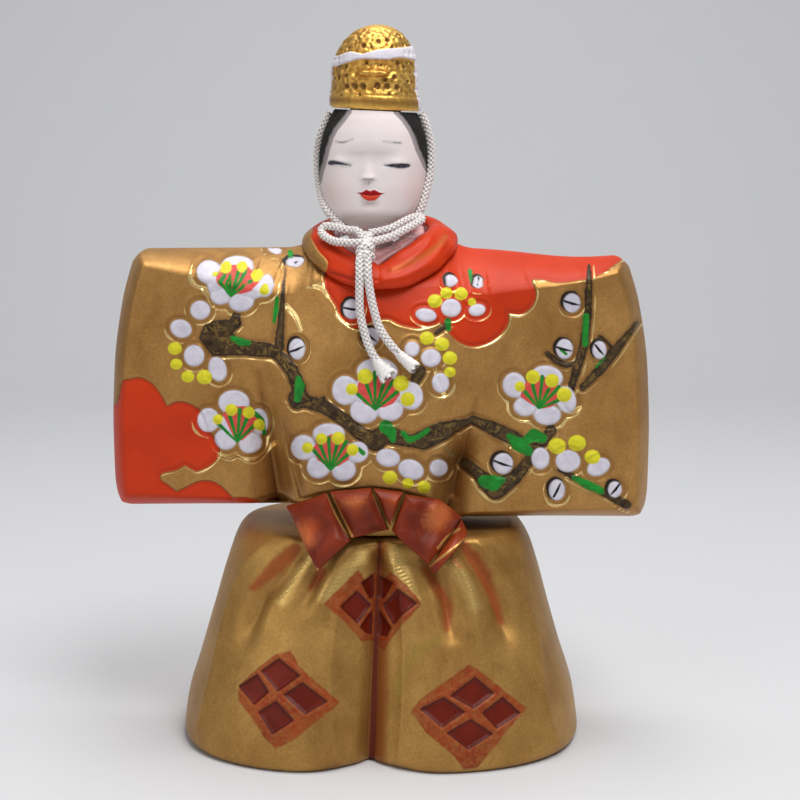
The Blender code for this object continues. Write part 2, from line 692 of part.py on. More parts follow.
def make_robe_body():
    rows = [z - ROBE_FOOT for z in robe_levels(ROBE_FOOT, (0.0,))]
    shares = [-s for s in reversed(CHEST_COLUMN_SHARES[1:])] + list(CHEST_COLUMN_SHARES)
    front, back = [], []
    for row in rows:
        half = seam_x(ROBE_FOOT + row) - JOINT_GAP / 2.0
        for share in shares:
            x = share * half
            z = ROBE_FOOT + row * (robe_top(abs(x)) - ROBE_FOOT) / ROBE_RISE
            plain = ROBE_FOOT + row
            height = bevel_profile(ROBE_RISE - row, SHOULDER_BEVEL)
            front.append((x, robe_front(x, plain) * height, z))
            back.append((x, robe_back(x, plain) * height, z))
    body = slab("robe_body", front, back, len(rows), len(shares), GOLD, ("inner", "outer", "foot"))

    hollow_width = HAKAMA_NECK_HALF_WIDTH + LUTING_CLEARANCE
    hollow_depth = HAKAMA_NECK_HALF_DEPTH + LUTING_CLEARANCE
    hollow_rise = ROBE_RISE - CHEST_HOLLOW_ROOF
    hollow = []
    for up, size in CHEST_HOLLOW_SHARES:
        z = ROBE_FOOT + up * hollow_rise
        hollow.append(round_ring(hollow_width * size, hollow_depth * size, z, CHEST_HOLLOW_SIDES, 1.0 / 3.0))
    hollow.insert(0, [(x, y, ROBE_FOOT - OVERRUN) for x, y, _ in hollow[0]])
    cut(body, cutter(stacked("robe_hollow", hollow, GOLD)))
    well_low, well_high = in_head(NECK_SEAT), in_head(SHOULDER_HEIGHT + NECK_RISE + OVERRUN)
    well_radius = NECK_RADIUS + NECK_WELL_CLEARANCE
    cut(body, cutter(drum("neck_well", well_low, well_high, well_radius, ROUND_SIDES, GOLD, turn_frame)))
    hole_low, hole_high = in_head(NECK_SEAT - PEG_IN_BODY - JOINT_GAP), in_head(NECK_SEAT + OVERRUN)
    hole_radius = PEG_RADIUS + PEG_CLEARANCE
    cut(body, cutter(drum("peg_hole", hole_low, hole_high, hole_radius, PEG_SIDES, GOLD, turn_frame)))
    cut(body, cutter(collar_band("collar_seat", COLLAR_SEAT_GAP)))
    cut(body, cutter(under_collar_band("under_collar_seat", COLLAR_SEAT_GAP)))
    return body


# Collars

def collar_edges(angle):
    """Inner and outer edge of the round collar in one direction round the neck. -90 degrees is the front."""
    c, s = math.cos(angle), math.sin(angle)
    inner_depth = COLLAR_INNER_FRONT if s < 0.0 else COLLAR_INNER_BACK
    outer_depth = COLLAR_OUTER_FRONT if s < 0.0 else COLLAR_OUTER_BACK
    inner_x = COLLAR_INNER_HALF_WIDTH * c
    outer_x = COLLAR_OUTER_HALF_WIDTH * c
    if s < 0.0:
        inner_rise = mix(COLLAR_V_RISE, COLLAR_INNER_SIDE_RISE, abs(c) ** COLLAR_V_POWER)
        outer_rise = mix(COLLAR_OUTER_SIDE_RISE, COLLAR_OUTER_FRONT_RISE, (-s) ** COLLAR_FRONT_POWER)
    else:
        inner_rise = mix(COLLAR_INNER_SIDE_RISE, COLLAR_INNER_BACK_RISE, s)
        outer_rise = mix(COLLAR_OUTER_SIDE_RISE, COLLAR_OUTER_BACK_RISE, s)
    inner = Vector((COLLAR_X + inner_x, inner_depth * s, SHOULDER_HEIGHT + inner_rise))
    outer = Vector((COLLAR_X + outer_x, outer_depth * s, SHOULDER_HEIGHT + outer_rise))
    return inner, outer


def band(name, edges, thickness, underside, grow, finish):
    """A closed band round the neck: a swelling strip between two edges, thicker by grow on every side."""
    rings = []
    for i in range(COLLAR_SIDES):
        angle = FULL_TURN * i / COLLAR_SIDES
        inner, outer = edges(angle)
        across = outer - inner
        width = across.length
        across.normalize()
        along = Vector((-math.sin(angle), math.cos(angle), 0.0))
        away = along.cross(across)
        if away.z < 0.0:
            away.negate()
        ring = []
        for place, height in COLLAR_PROFILE_SHARES:
            lift = height * thickness if height >= 0.0 else height * underside
            aside = (place - 0.5) * (width + 2.0 * grow)
            middle = (inner + outer) / 2.0
            ring.append(middle + across * aside + away * (lift + math.copysign(grow, height)))
        rings.append(ring)
    points = [p for ring in rings for p in ring]
    faces = rings_faces(COLLAR_SIDES, len(COLLAR_PROFILE_SHARES), closed_path=True)
    return mesh_piece(name, points, faces, finish)


def collar_band(name, grow=0.0):
    return band(name, collar_edges, COLLAR_THICKNESS, COLLAR_UNDERSIDE, grow, RED)


def under_collar_edges(angle):
    c, s = math.cos(angle), math.sin(angle)
    outer, _ = collar_edges(angle)
    radius = NECK_RADIUS + UNDER_COLLAR_CLEARANCE
    rise = mix(UNDER_COLLAR_INNER_RISE, UNDER_COLLAR_FRONT_RISE, max(-s, 0.0))
    inner = Vector((HEAD_X + radius * c, HEAD_Y + radius * s, SHOULDER_HEIGHT + rise))
    return inner, outer + (inner - outer).normalized() * UNDER_COLLAR_TUCK


def under_collar_band(name, grow=0.0):
    thickness = UNDER_COLLAR_THICKNESS
    return band(name, under_collar_edges, thickness, thickness, grow, PINK)


def make_collars():
    collar = collar_band("round_collar")
    under = under_collar_band("under_collar")
    cut(under, cutter(collar_band("collar_room", JOINT_GAP)))
    return collar, under


# Sash bow

def body_front(x, z):
    """The foremost of trousers and robe round about x and z, as if the robe had no folds at its seams."""
    foremost = 0.0
    for i in range(-BOW_SEARCH_STEPS, BOW_SEARCH_STEPS + 1):
        height = z + BOW_SEARCH * i / BOW_SEARCH_STEPS
        if height <= HAKAMA_HEIGHT:
            foremost = min(foremost, hakama_front(x, height))
        if height >= ROBE_FOOT:
            foremost = min(foremost, robe_front(x, height, folded=False))
    return foremost


def along_edge(spots, share):
    """The point a share of the way along a run of two or three points."""
    place = share * (len(spots) - 1)
    index = min(int(place), len(spots) - 2)
    return [mix(spots[index][k], spots[index + 1][k], place - index) for k in (0, 1)]


def make_bow_piece(name, edges, thickness):
    """A cushion-like slab between a lower and an upper edge, whose back follows the body."""
    spots = [[(BOW_X + BOW_WIDTH * x, BOW_FOOT + BOW_RISE * z) for x, z in edge] for edge in edges]
    size = len(BOW_STEP_SHARES)
    front, back = [], []
    for v in BOW_STEP_SHARES:
        for u in BOW_STEP_SHARES:
            low, high = along_edge(spots[0], u), along_edge(spots[1], u)
            x, z = mix(low[0], high[0], v), mix(low[1], high[1], v)
            edge = u in (0.0, 1.0) or v in (0.0, 1.0)
            seat = body_front(x, z) - BOW_SEAT_GAP
            front.append((x, seat - thickness * (BOW_EDGE_SHARE if edge else 1.0), z))
            back.append((x, seat, z))
    return slab(name, front, back, size, size, RUSSET, ("inner", "outer", "foot", "top"))


def make_bow():
    for name, edges in BOW_SHARES.items():
        thickness = BOW_KNOT_THICKNESS if name == "sash_knot" else BOW_THICKNESS
        make_bow_piece(name, edges, thickness)


# Head and cap

turn_frame = bpy.data.objects.new("turn_frame", None)
bpy.context.collection.objects.link(turn_frame)
turn_frame.location = (HEAD_X, HEAD_Y, HEAD_FOOT)
head_frame = bpy.data.objects.new("head_frame", None)
bpy.context.collection.objects.link(head_frame)
head_frame.parent = turn_frame
head_frame.rotation_euler = (0.0, HEAD_TILT, HEAD_TURN)


def in_head(z):
    """A height measured from the head's own foot."""
    return z - HEAD_FOOT


def from_axis(point):
    """A point of the doll, measured from the foot of the axis that the head turns on."""
    return Vector(point) - turn_frame.location


def head_ring(share):
    width = HEAD_HALF_WIDTH * curve_value(HEAD_SHARES, share, 1)
    front = HEAD_HALF_DEPTH * curve_value(HEAD_SHARES, share, 2)
    back = HEAD_HALF_DEPTH * curve_value(HEAD_SHARES, share, 3)
    middle = (back - front) / 2.0
    depth = (back + front) / 2.0
    z = in_head(CHIN_HEIGHT + HEAD_RISE * share)
    power = 2.0 / HEAD_SQUARENESS
    ring = []
    for c, s, _ in round_ring(1.0, 1.0, 0.0, ROUND_SIDES):
        ring.append((width * signed_power(c, power), middle + depth * signed_power(s, power), z))
    return ring


def make_head():
    neck_high = in_head(CHIN_HEIGHT) - JAW_SHARE * NECK_RADIUS
    rings = [round_ring(NECK_RADIUS, NECK_RADIUS, z, ROUND_SIDES) for z in (0.0, neck_high)]
    rings += [head_ring(share) for share in HEAD_LEVEL_SHARES]
    top = in_head(HEAD_TOP)
    for z in (top, top + CAP_SPIGOT_RISE):
        rings.append(round_ring(CAP_SPIGOT_RADIUS, CAP_SPIGOT_RADIUS, z, ROUND_SIDES))
    head = stacked("head", rings, WHITE, head_frame)
    bore_radius = PEG_RADIUS + PEG_CLEARANCE
    bore_top = in_head(NECK_SEAT + PEG_IN_HEAD + JOINT_GAP)
    cut(head, cutter(drum("peg_bore", -OVERRUN, bore_top, bore_radius, PEG_SIDES, WHITE, turn_frame)))
    return head


def make_cap():
    foot = in_head(HEAD_TOP) + JOINT_GAP
    rings = []
    for up, size in CAP_SHARES:
        rings.append(round_ring(CAP_HALF_WIDTH * size, CAP_HALF_DEPTH * size, foot + CAP_RISE * up, CAP_SIDES))
    cap = stacked("cap", rings, CAP_GOLD, head_frame)
    socket = CAP_SPIGOT_RADIUS + JOINT_GAP
    roof = foot + CAP_SPIGOT_RISE
    cut(cap, cutter(drum("cap_socket", foot - OVERRUN, roof, socket, ROUND_SIDES, CAP_GOLD, head_frame)))
    return cap


def make_peg():
    low, high = in_head(NECK_SEAT - PEG_IN_BODY), in_head(NECK_SEAT + PEG_IN_HEAD)
    return drum("neck_peg", low, high, PEG_RADIUS, PEG_SIDES, WOOD, turn_frame)


# Cord: hand-chosen route points, in metres

CORD_ROUTES = {
    "cheek_cord_right": (
        (-0.0130, 0.0004, 0.1483), (-0.0149, 0.0000, 0.1440), (-0.0159, -0.0006, 0.1395),
        (-0.0159, -0.0016, 0.1350), (-0.0152, -0.0038, 0.1302), (-0.0136, -0.0064, 0.1262),
        (-0.0108, -0.0086, 0.1231), (-0.0080, -0.0104, 0.1214), (-0.0056, -0.0116, 0.1205),
    ),
    "cheek_cord_left": (
        (0.0100, 0.0004, 0.1482), (0.0115, 0.0000, 0.1445), (0.0123, -0.0010, 0.1395),
        (0.0121, -0.0024, 0.1345), (0.0110, -0.0036, 0.1295), (0.0094, -0.0046, 0.1251),
        (0.0069, -0.0068, 0.1221), (0.0037, -0.0096, 0.1209), (0.0006, -0.0112, 0.1204),
    ),
    "cord_loop_right": (
        (-0.0056, -0.0172, 0.1190), (-0.0080, -0.0161, 0.1193), (-0.0108, -0.0139, 0.1200),
        (-0.0130, -0.0117, 0.1212), (-0.0138, -0.0104, 0.1223), (-0.0131, -0.0101, 0.1235),
        (-0.0109, -0.0115, 0.1235), (-0.0080, -0.0133, 0.1224), (-0.0052, -0.0144, 0.1214),
    ),
    "cord_loop_left": (
        (-0.0003, -0.0164, 0.1196), (0.0024, -0.0157, 0.1203), (0.0052, -0.0140, 0.1216),
        (0.0078, -0.0119, 0.1229), (0.0094, -0.0100, 0.1238), (0.0093, -0.0085, 0.1244),
        (0.0079, -0.0089, 0.1244), (0.0056, -0.0107, 0.1236), (0.0028, -0.0128, 0.1222),
        (-0.0001, -0.0137, 0.1214),
    ),
    "cord_tail_right": (
        (-0.0050, -0.0218, 0.1155), (-0.0050, -0.0233, 0.1120), (-0.0049, -0.0236, 0.1080),
        (-0.0046, -0.0239, 0.1040), (-0.0040, -0.0243, 0.1000), (-0.0031, -0.0248, 0.0962),
        (-0.0017, -0.0254, 0.0926), (0.0003, -0.0260, 0.0892),
    ),
    "cord_tail_left": (
        (-0.0025, -0.0218, 0.1155), (-0.0024, -0.0234, 0.1118), (-0.0020, -0.0237, 0.1078),
        (-0.0014, -0.0240, 0.1042), (-0.0002, -0.0244, 0.1004), (0.0018, -0.0248, 0.0972),
        (0.0046, -0.0252, 0.0940), (0.0078, -0.0255, 0.0912),
    ),
}
CORD_KNOT_TOP = (-0.0026, -0.0141, 0.1210)
CORD_KNOT_FOOT = (-0.0037, -0.0208, 0.1166)
CORD_KNOT_RADIUS = 0.0019
# swelling of the knot from its top down
CORD_KNOT_SIDES = 14
CORD_KNOT_SHARES = ((0.0, 0.45), (0.12, 0.85), (0.30, 1.0), (0.48, 0.82), (0.62, 0.92), (0.85, 0.88), (1.0, 0.50))


def smooth_route(points):
    """Even points along a smooth curve through the route's own points, measured from the head's axis."""
    knots = [from_axis(p) for p in points]
    knots = [2.0 * knots[0] - knots[1]] + knots + [2.0 * knots[-1] - knots[-2]]
    fine = []
    for i in range(1, len(knots) - 2):
        before, start, end, after = knots[i - 1:i + 3]
        for k in range(ROUTE_STEPS):
            t = k / ROUTE_STEPS
            fine.append(0.5 * (
                2.0 * start + (end - before) * t
                + (2.0 * before - 5.0 * start + 4.0 * end - after) * t * t
                + (3.0 * start - before - 3.0 * end + after) * t**3
            ))
    fine.append(knots[-2])
    lengths = [0.0]
    for a, b in zip(fine, fine[1:]):
        lengths.append(lengths[-1] + (b - a).length)
    count = max(3, round(lengths[-1] / CORD_POINT_SPACING))
    even = []
    for i in range(count + 1):
        target = lengths[-1] * i / count
        k = max(j for j, here in enumerate(lengths[:-1]) if here <= target)
        even.append(fine[k].lerp(fine[k + 1], (target - lengths[k]) / (lengths[k + 1] - lengths[k])))
    return even


def make_cord(name, points):
    line = bpy.data.curves.new(name, "CURVE")
    line.dimensions = "3D"
    line.bevel_depth = CORD_DIAMETER / 2.0
    line.bevel_resolution = CORD_BEVEL_RESOLUTION
    line.use_fill_caps = True
    spline = line.splines.new("POLY")
    route = smooth_route(points)
    spline.points.add(len(route) - 1)
    for place, point in zip(spline.points, route):
        place.co = (*point, 1.0)
    line.materials.append(CORD_WHITE)
    piece = bpy.data.objects.new(name, line)
    bpy.context.collection.objects.link(piece)
    piece.parent = turn_frame
    return piece


def make_knot():
    top, foot = from_axis(CORD_KNOT_TOP), from_axis(CORD_KNOT_FOOT)
    down = (foot - top).normalized()
    across = down.cross(Vector((0.0, 0.0, 1.0))).normalized()
    outward = across.cross(down)
    rings = []
    for place, swell in CORD_KNOT_SHARES:
        middle = top.lerp(foot, place)
        level = round_ring(CORD_KNOT_RADIUS * swell, CORD_KNOT_RADIUS * swell, 0.0, CORD_KNOT_SIDES)
        rings.append([middle + across * x + outward * y for x, y, _ in level])
    return stacked("cord_knot", rings, CORD_WHITE, turn_frame)


make_hakama()
make_robe_body()
make_sleeve("right_sleeve", -1.0, ROBE_FOOT + SLEEVE_RISE_RIGHT)
make_sleeve("left_sleeve", 1.0, ROBE_FOOT + SLEEVE_RISE_LEFT)
make_collars()
make_bow()
make_peg()
make_head()
make_cap()
make_knot()
for cord_name, cord_points in CORD_ROUTES.items():
    make_cord(cord_name, cord_points)
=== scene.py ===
# %% [markdown]
# # A standing emperor doll of painted earthenware
# The real doll is cast in a mould, fired, and painted: gold over most of it, a red cloud on each
# side, a plum branch in blossom, a white face, and a real braided cord tied under the chin.
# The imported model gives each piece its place. This script adds what the eye sees: fine relief,
# layers of paint, and the braid. All sizes are in metres, and the doll faces -Y.

import math

import bmesh
import bpy
import numpy as np
from mathutils import Euler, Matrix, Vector


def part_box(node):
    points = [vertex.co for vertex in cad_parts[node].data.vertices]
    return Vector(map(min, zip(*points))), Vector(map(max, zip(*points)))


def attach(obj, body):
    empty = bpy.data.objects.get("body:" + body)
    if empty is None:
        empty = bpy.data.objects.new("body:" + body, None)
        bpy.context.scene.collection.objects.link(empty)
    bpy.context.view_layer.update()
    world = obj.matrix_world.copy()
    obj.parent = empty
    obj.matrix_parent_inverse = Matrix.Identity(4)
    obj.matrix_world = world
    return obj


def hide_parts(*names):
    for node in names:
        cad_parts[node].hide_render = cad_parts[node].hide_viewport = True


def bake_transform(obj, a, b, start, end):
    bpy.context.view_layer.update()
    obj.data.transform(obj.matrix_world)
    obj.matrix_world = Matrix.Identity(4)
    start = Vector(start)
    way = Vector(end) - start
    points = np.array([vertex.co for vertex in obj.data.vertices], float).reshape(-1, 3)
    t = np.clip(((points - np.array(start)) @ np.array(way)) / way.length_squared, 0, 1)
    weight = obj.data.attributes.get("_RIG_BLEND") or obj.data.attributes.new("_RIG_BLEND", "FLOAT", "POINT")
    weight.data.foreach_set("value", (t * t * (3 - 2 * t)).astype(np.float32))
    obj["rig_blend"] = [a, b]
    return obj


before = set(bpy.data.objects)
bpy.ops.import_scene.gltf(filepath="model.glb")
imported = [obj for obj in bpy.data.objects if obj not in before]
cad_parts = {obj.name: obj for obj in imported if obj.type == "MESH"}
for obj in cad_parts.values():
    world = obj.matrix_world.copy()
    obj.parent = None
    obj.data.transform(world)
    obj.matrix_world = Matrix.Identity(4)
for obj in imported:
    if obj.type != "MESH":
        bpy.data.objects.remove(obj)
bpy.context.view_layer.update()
print("frame:", len(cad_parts), "nodes")

# %% [markdown]
# ## Camera
# The photograph was taken from a little above the doll with a long lens, so that near and far
# edges keep nearly the same size. The fall of the shelf's edge and the rise of the foot's rim
# give the pitch, and the size of the head against the foot gives the distance.

# %% Camera
PHOTO_SIDE = 800
FOCAL_PX = 1810
SENSOR_WIDTH = 36.0
CAMERA_PLACE = np.array((0.0045, -0.433, 0.148))
CAMERA_PITCH = math.radians(8.95)

camera_data = bpy.data.cameras.new("camera")
camera_data.sensor_width = SENSOR_WIDTH
camera_data.lens = SENSOR_WIDTH * FOCAL_PX / PHOTO_SIDE
camera_data.clip_start = 0.01
camera = bpy.data.objects.new("camera", camera_data)
camera.location = CAMERA_PLACE
camera.rotation_euler = (math.pi / 2 - CAMERA_PITCH, 0.0, 0.0)
bpy.context.collection.objects.link(camera)
bpy.context.scene.camera = camera
print("lens:", round(camera_data.lens, 1), "mm")

# %% [markdown]
# ## Painting by the photograph's own grid
# The brush strokes are written down in the photograph's pixels, as x to the right and y down.
# This helper says where a place on the doll falls in that grid. It is used once, while the
# meshes are made: what it gives is kept on the mesh, so the paint stays on the doll from any side.

# %% From places on the doll to the photograph
def photo_place(points):
    off = np.asarray(points) - CAMERA_PLACE
    ahead = off[..., 1] * math.cos(CAMERA_PITCH) - off[..., 2] * math.sin(CAMERA_PITCH)
    up = off[..., 1] * math.sin(CAMERA_PITCH) + off[..., 2] * math.cos(CAMERA_PITCH)
    half = PHOTO_SIDE / 2
    return np.stack((half + FOCAL_PX * off[..., 0] / ahead, half - FOCAL_PX * up / ahead), axis=-1)


print("middle of the waist in the photograph:", photo_place((0.0, -0.025, 0.06)).round(1))

# %% [markdown]
# ## Distances to painted shapes
# A painted edge stays crisp when the mesh stores how far each point is from it, below zero
# inside, and the shader cuts that smooth value at zero. These helpers measure the distance to
# a line of varying width, to an oval, and to a closed outline. A stroke or an outline is one run
# of numbers, with x and y by turns. An oval is x, y, width, height and turn.

# %% Curves and mixing
def fade(share):
    share = np.clip(share, 0.0, 1.0)
    return share * share * (3.0 - 2.0 * share)


def bump(distance, width):
    return np.exp(-((distance / width) ** 2))


def mix(start, end, share):
    return start + (end - start) * share


def as_spots(spots):
    spots = np.asarray(spots, float)
    return spots.reshape(-1, 2) if spots.ndim == 1 else spots


def smooth_run(spots, steps=6):
    """More spots along a smooth curve through the given ones."""
    spots = as_spots(spots)
    padded = np.vstack((2 * spots[0] - spots[1], spots, 2 * spots[-1] - spots[-2]))
    fine = []
    for a, b, c, d in zip(padded, padded[1:], padded[2:], padded[3:]):
        for t in np.arange(steps) / steps:
            fine.append(0.5 * (2 * b + (c - a) * t + (2 * a - 5 * b + 4 * c - d) * t**2
                               + (3 * b - a - 3 * c + d) * t**3))
    return np.array(fine + [spots[-1]])


def lengths_along(*coordinates):
    """How far along a curve each of its points lies."""
    steps = np.linalg.norm(np.diff(np.stack(coordinates, -1), axis=0), axis=1)
    return np.concatenate(((0,), np.cumsum(steps)))


print("a curve through 3 spots has", len(smooth_run((0, 0, 1, 1, 2, 0))))

# %% Distance helpers
FAR = 60.0


def nearest(distances):
    return np.minimum.reduce(list(distances))


def to_line(places, spots, widths=0.0):
    """Distance to a run of spots, less half of its width there."""
    spots = as_spots(spots)
    halves = np.broadcast_to(np.asarray(widths, float) / 2, len(spots))
    result = np.full(len(places), FAR)
    close = (places > spots.min(axis=0) - FAR) & (places < spots.max(axis=0) + FAR)
    rows = np.flatnonzero(close.all(axis=1))
    here, best = places[rows], result[rows]
    for start, end, low, high in zip(spots, spots[1:], halves, halves[1:]):
        run = end - start
        share = np.clip((here - start) @ run / max(run @ run, 1e-12), 0.0, 1.0)
        gap = np.linalg.norm(here - start - share[:, None] * run, axis=1) - (low + (high - low) * share)
        best = np.minimum(best, gap)
    result[rows] = best
    return result


def to_oval(places, x, y, wide, high, turn=0.0):
    """Distance to an oval that is turned clockwise by some degrees."""
    off = places - np.array((x, y), float)
    c, s = math.cos(math.radians(turn)), math.sin(math.radians(turn))
    x, y = off[:, 0] * c + off[:, 1] * s, off[:, 1] * c - off[:, 0] * s
    a, b = wide / 2, high / 2
    ring = np.hypot(x / a, y / b)
    slope = np.hypot(x / a**2, y / b**2)
    return np.minimum(ring * (ring - 1.0) / np.maximum(slope, 1e-9), FAR)


def to_outline(places, spots):
    """Distance to a closed outline, below zero inside."""
    spots = as_spots(spots)
    gap = to_line(places, np.vstack((spots, spots[:1])))
    inside = np.zeros(len(places), bool)
    for (x0, y0), (x1, y1) in zip(spots, np.roll(spots, -1, axis=0)):
        spans = (y0 > places[:, 1]) != (y1 > places[:, 1])
        edge = x0 + (places[:, 1] - y0) * (x1 - x0) / (y1 - y0 if y1 != y0 else 1e-9)
        inside ^= spans & (places[:, 0] < edge)
    return np.where(inside, -gap, gap)


def to_strokes(places, runs, width=0.0):
    """Distance to the nearest of several smooth strokes of one width."""
    return nearest(to_line(places, smooth_run(run), width) for run in runs)


def to_ovals(places, rows):
    return nearest(to_oval(places, *row) for row in rows)


def to_dots(places, rows, wide=1.0, high=1.0):
    """Distance to the nearest of several dots; a row is x, y and size."""
    return nearest(to_oval(places, x, y, size * wide, size * high) for x, y, size in rows)


def to_outlines(places, runs):
    return nearest(to_outline(places, run) for run in runs)


print("an oval's middle is", to_oval(np.zeros((1, 2)), 0, 0, 10, 6).round(1), "from its edge")

# %% [markdown]
# ## Meshes from grids of points
# Each skin of the doll is a grid of points in rows and columns, which may close on itself.
# The relief is pushed out along the grid's own normals, and the paint's distances are kept on
# the mesh as named layers.

# %% Grids
def grid_faces(rows, columns, wrap_rows=False, wrap_columns=False):
    index = np.arange(rows * columns).reshape(rows, columns)
    if wrap_rows:
        index = np.vstack((index, index[:1]))
    if wrap_columns:
        index = np.hstack((index, index[:, :1]))
    corners = (index[:-1, :-1], index[:-1, 1:], index[1:, 1:], index[1:, :-1])
    return np.stack(corners, axis=-1).reshape(-1, 4)


def slope_along(grid, axis, wrapped):
    if wrapped:
        return np.roll(grid, -1, axis=axis) - np.roll(grid, 1, axis=axis)
    return np.gradient(grid, axis=axis)


def grid_normals(grid, wrap_rows=False, wrap_columns=False):
    """Directions that lead straight out of a grid's surface, away from its middle."""
    normals = np.cross(slope_along(grid, 1, wrap_columns), slope_along(grid, 0, wrap_rows))
    normals /= np.maximum(np.linalg.norm(normals, axis=-1, keepdims=True), 1e-12)
    away = grid - grid.mean(axis=(0, 1))
    return normals if (normals * away).sum() > 0 else -normals


# %% From grids to pieces
def make_mesh(name, points, faces):
    """A smooth mesh whose faces all look outwards, made straight from arrays."""
    points = np.asarray(points, float).reshape(-1, 3)
    middle = points.mean(axis=0)
    a, b, c, d = (points[faces[:, k]] - middle for k in range(4))
    volume = (a * np.cross(b, c)).sum() + (a * np.cross(c, d)).sum()
    if volume < 0:
        faces = faces[:, ::-1]
    mesh = bpy.data.meshes.new(name)
    mesh.vertices.add(len(points))
    mesh.vertices.foreach_set("co", points.astype(np.float32).ravel())
    mesh.loops.add(faces.size)
    mesh.loops.foreach_set("vertex_index", faces.astype(np.int32).ravel())
    mesh.polygons.add(len(faces))
    mesh.polygons.foreach_set("loop_start", np.arange(0, faces.size, 4, dtype=np.int32))
    mesh.update(calc_edges=True)
    mesh.shade_smooth()
    return mesh


def keep_layers(mesh, layers):
    for name, values in layers.items():
        layer = mesh.attributes.new(name, "FLOAT", "POINT")
        layer.data.foreach_set("value", np.asarray(values, np.float32).ravel())


def join_points(mesh, reach=1e-7):
    """Makes one point of those within reach, such as a ring that has shrunk to nothing."""
    skin = bmesh.new()
    skin.from_mesh(mesh)
    bmesh.ops.remove_doubles(skin, verts=skin.verts, dist=reach)
    skin.to_mesh(mesh)
    skin.free()
    mesh.shade_smooth()


def grid_mesh(name, points, layers, wrap_rows=False, wrap_columns=True, reach=None):
    mesh = make_mesh(name, points, grid_faces(*points.shape[:2], wrap_rows, wrap_columns))
    keep_layers(mesh, layers)
    if reach:
        join_points(mesh, reach)
    return mesh


def place_piece(name, mesh, finish, body, slot, *nodes):
    """Puts a mesh in the scene as a piece that rides on a body and stands for CAD nodes."""
    mesh.materials.append(finish)
    piece = bpy.data.objects.new(name, mesh)
    bpy.context.collection.objects.link(piece)
    if body:
        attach(piece, body)
    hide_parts(*nodes)
    print(name + ":", len(mesh.vertices), "points")
    return piece


# %% Values from tables, and a hand's unevenness
def table_value(table, place, column=1):
    """A smooth value from rows of (place, value, ...), without overshoot: the CAD source's own rule."""
    places, values = (np.array([row[k] for row in table], float) for k in (0, column))
    slopes = np.diff(values) / np.diff(places)
    tangents = np.concatenate((slopes[:1], np.zeros(len(slopes) - 1), slopes[-1:]))
    same_way = slopes[:-1] * slopes[1:] > 0
    together = np.where(same_way, slopes[:-1] + slopes[1:], 1.0)
    tangents[1:-1] = np.where(same_way, 2 * slopes[:-1] * slopes[1:] / together, 0.0)
    place = np.clip(place, places[0], places[-1])
    index = np.clip(np.searchsorted(places, place, side="right") - 1, 0, len(slopes) - 1)
    step = places[index + 1] - places[index]
    t = (place - places[index]) / step
    return (values[index] * (2 * t**3 - 3 * t**2 + 1) + tangents[index] * step * (t**3 - 2 * t**2 + t)
            + values[index + 1] * (3 * t**2 - 2 * t**3) + tangents[index + 1] * step * (t**3 - t**2))


def mould_waver(grid, size, seed):
    """The slight unevenness of a hand-pressed wall, as a sum of slow waves."""
    draw = np.random.default_rng(seed)
    total = np.zeros(grid.shape[:-1])
    for _ in range(14):
        wave = draw.normal(0, 1, 3)
        wave *= draw.uniform(60, 260) / np.linalg.norm(wave)
        total += np.sin(grid @ wave + draw.uniform(0, 2 * math.pi)) / 14**0.5
    return size * total


print("a value half way up a table:", table_value(((0, 0), (1, 2)), 0.5))

# %% [markdown]
# ## Shared paint effects
# Three effects turn up in nearly every finish, so each is a node group: the ragged edge of a
# painted shape, the mottle of hand-laid colour, and the fine unevenness of brushed gold powder.

# %% Node helpers
def feed(tree, socket, value):
    """Joins an output to a socket, or sets the socket's own number or colour."""
    if isinstance(value, bpy.types.NodeSocket):
        tree.links.new(value, socket)
    else:
        socket.default_value = value


def add_node(tree, kind, operation=None, **values):
    """Adds a node and feeds its sockets. _0 is the first socket, and Some_Name is Some Name."""
    node = tree.nodes.new(kind)
    if operation:
        node.operation = operation
    for name, value in values.items():
        key = int(name[1:]) if name[0] == "_" else name.replace("_", " ")
        feed(tree, node.inputs[key], value)
    return node


def maths(tree, operation, a, b=0.0, c=0.0, clamp=False):
    node = add_node(tree, "ShaderNodeMath", operation, _0=a, _1=b, _2=c)
    node.use_clamp = clamp
    return node.outputs[0]


def linear(colour):
    """A colour as it is seen, 0 to 255, turned into the linear values that a shader wants."""
    share = np.array(colour) / 255
    values = np.where(share <= 0.04045, share / 12.92, ((share + 0.055) / 1.055) ** 2.4)
    return (*(float(value) for value in values), 1.0)


def blend_colour(tree, mask, under, over):
    node = tree.nodes.new("ShaderNodeMix")
    node.data_type = "RGBA"
    for socket, value in ((0, mask), (6, under), (7, over)):
        feed(tree, node.inputs[socket], value)
    return node.outputs[2]


def object_places(tree):
    return tree.nodes.new("ShaderNodeTexCoord").outputs["Object"]


def noise(tree, scale, detail=3.0, roughness=0.55, distortion=0.0, where=None):
    return add_node(tree, "ShaderNodeTexNoise", Vector=where or object_places(tree), Scale=scale,
                    Detail=detail, Roughness=roughness, Distortion=distortion).outputs["Fac"]


print("pure red in a shader:", linear((255, 0, 0)))


# %% Group helpers
def new_group(name, inputs, outputs):
    """A node group. inputs is a table of names and starting values; None stands for a colour."""
    group = bpy.data.node_groups.new(name, "ShaderNodeTree")
    for title, start in inputs.items():
        kind = "NodeSocketColor" if start is None else "NodeSocketFloat"
        socket = group.interface.new_socket(title, in_out="INPUT", socket_type=kind)
        if start is not None:
            socket.default_value = start
    for title in outputs:
        kind = "NodeSocketColor" if title == "Colour" else "NodeSocketFloat"
        group.interface.new_socket(title, in_out="OUTPUT", socket_type=kind)
    return group, group.nodes.new("NodeGroupInput").outputs, group.nodes.new("NodeGroupOutput").inputs


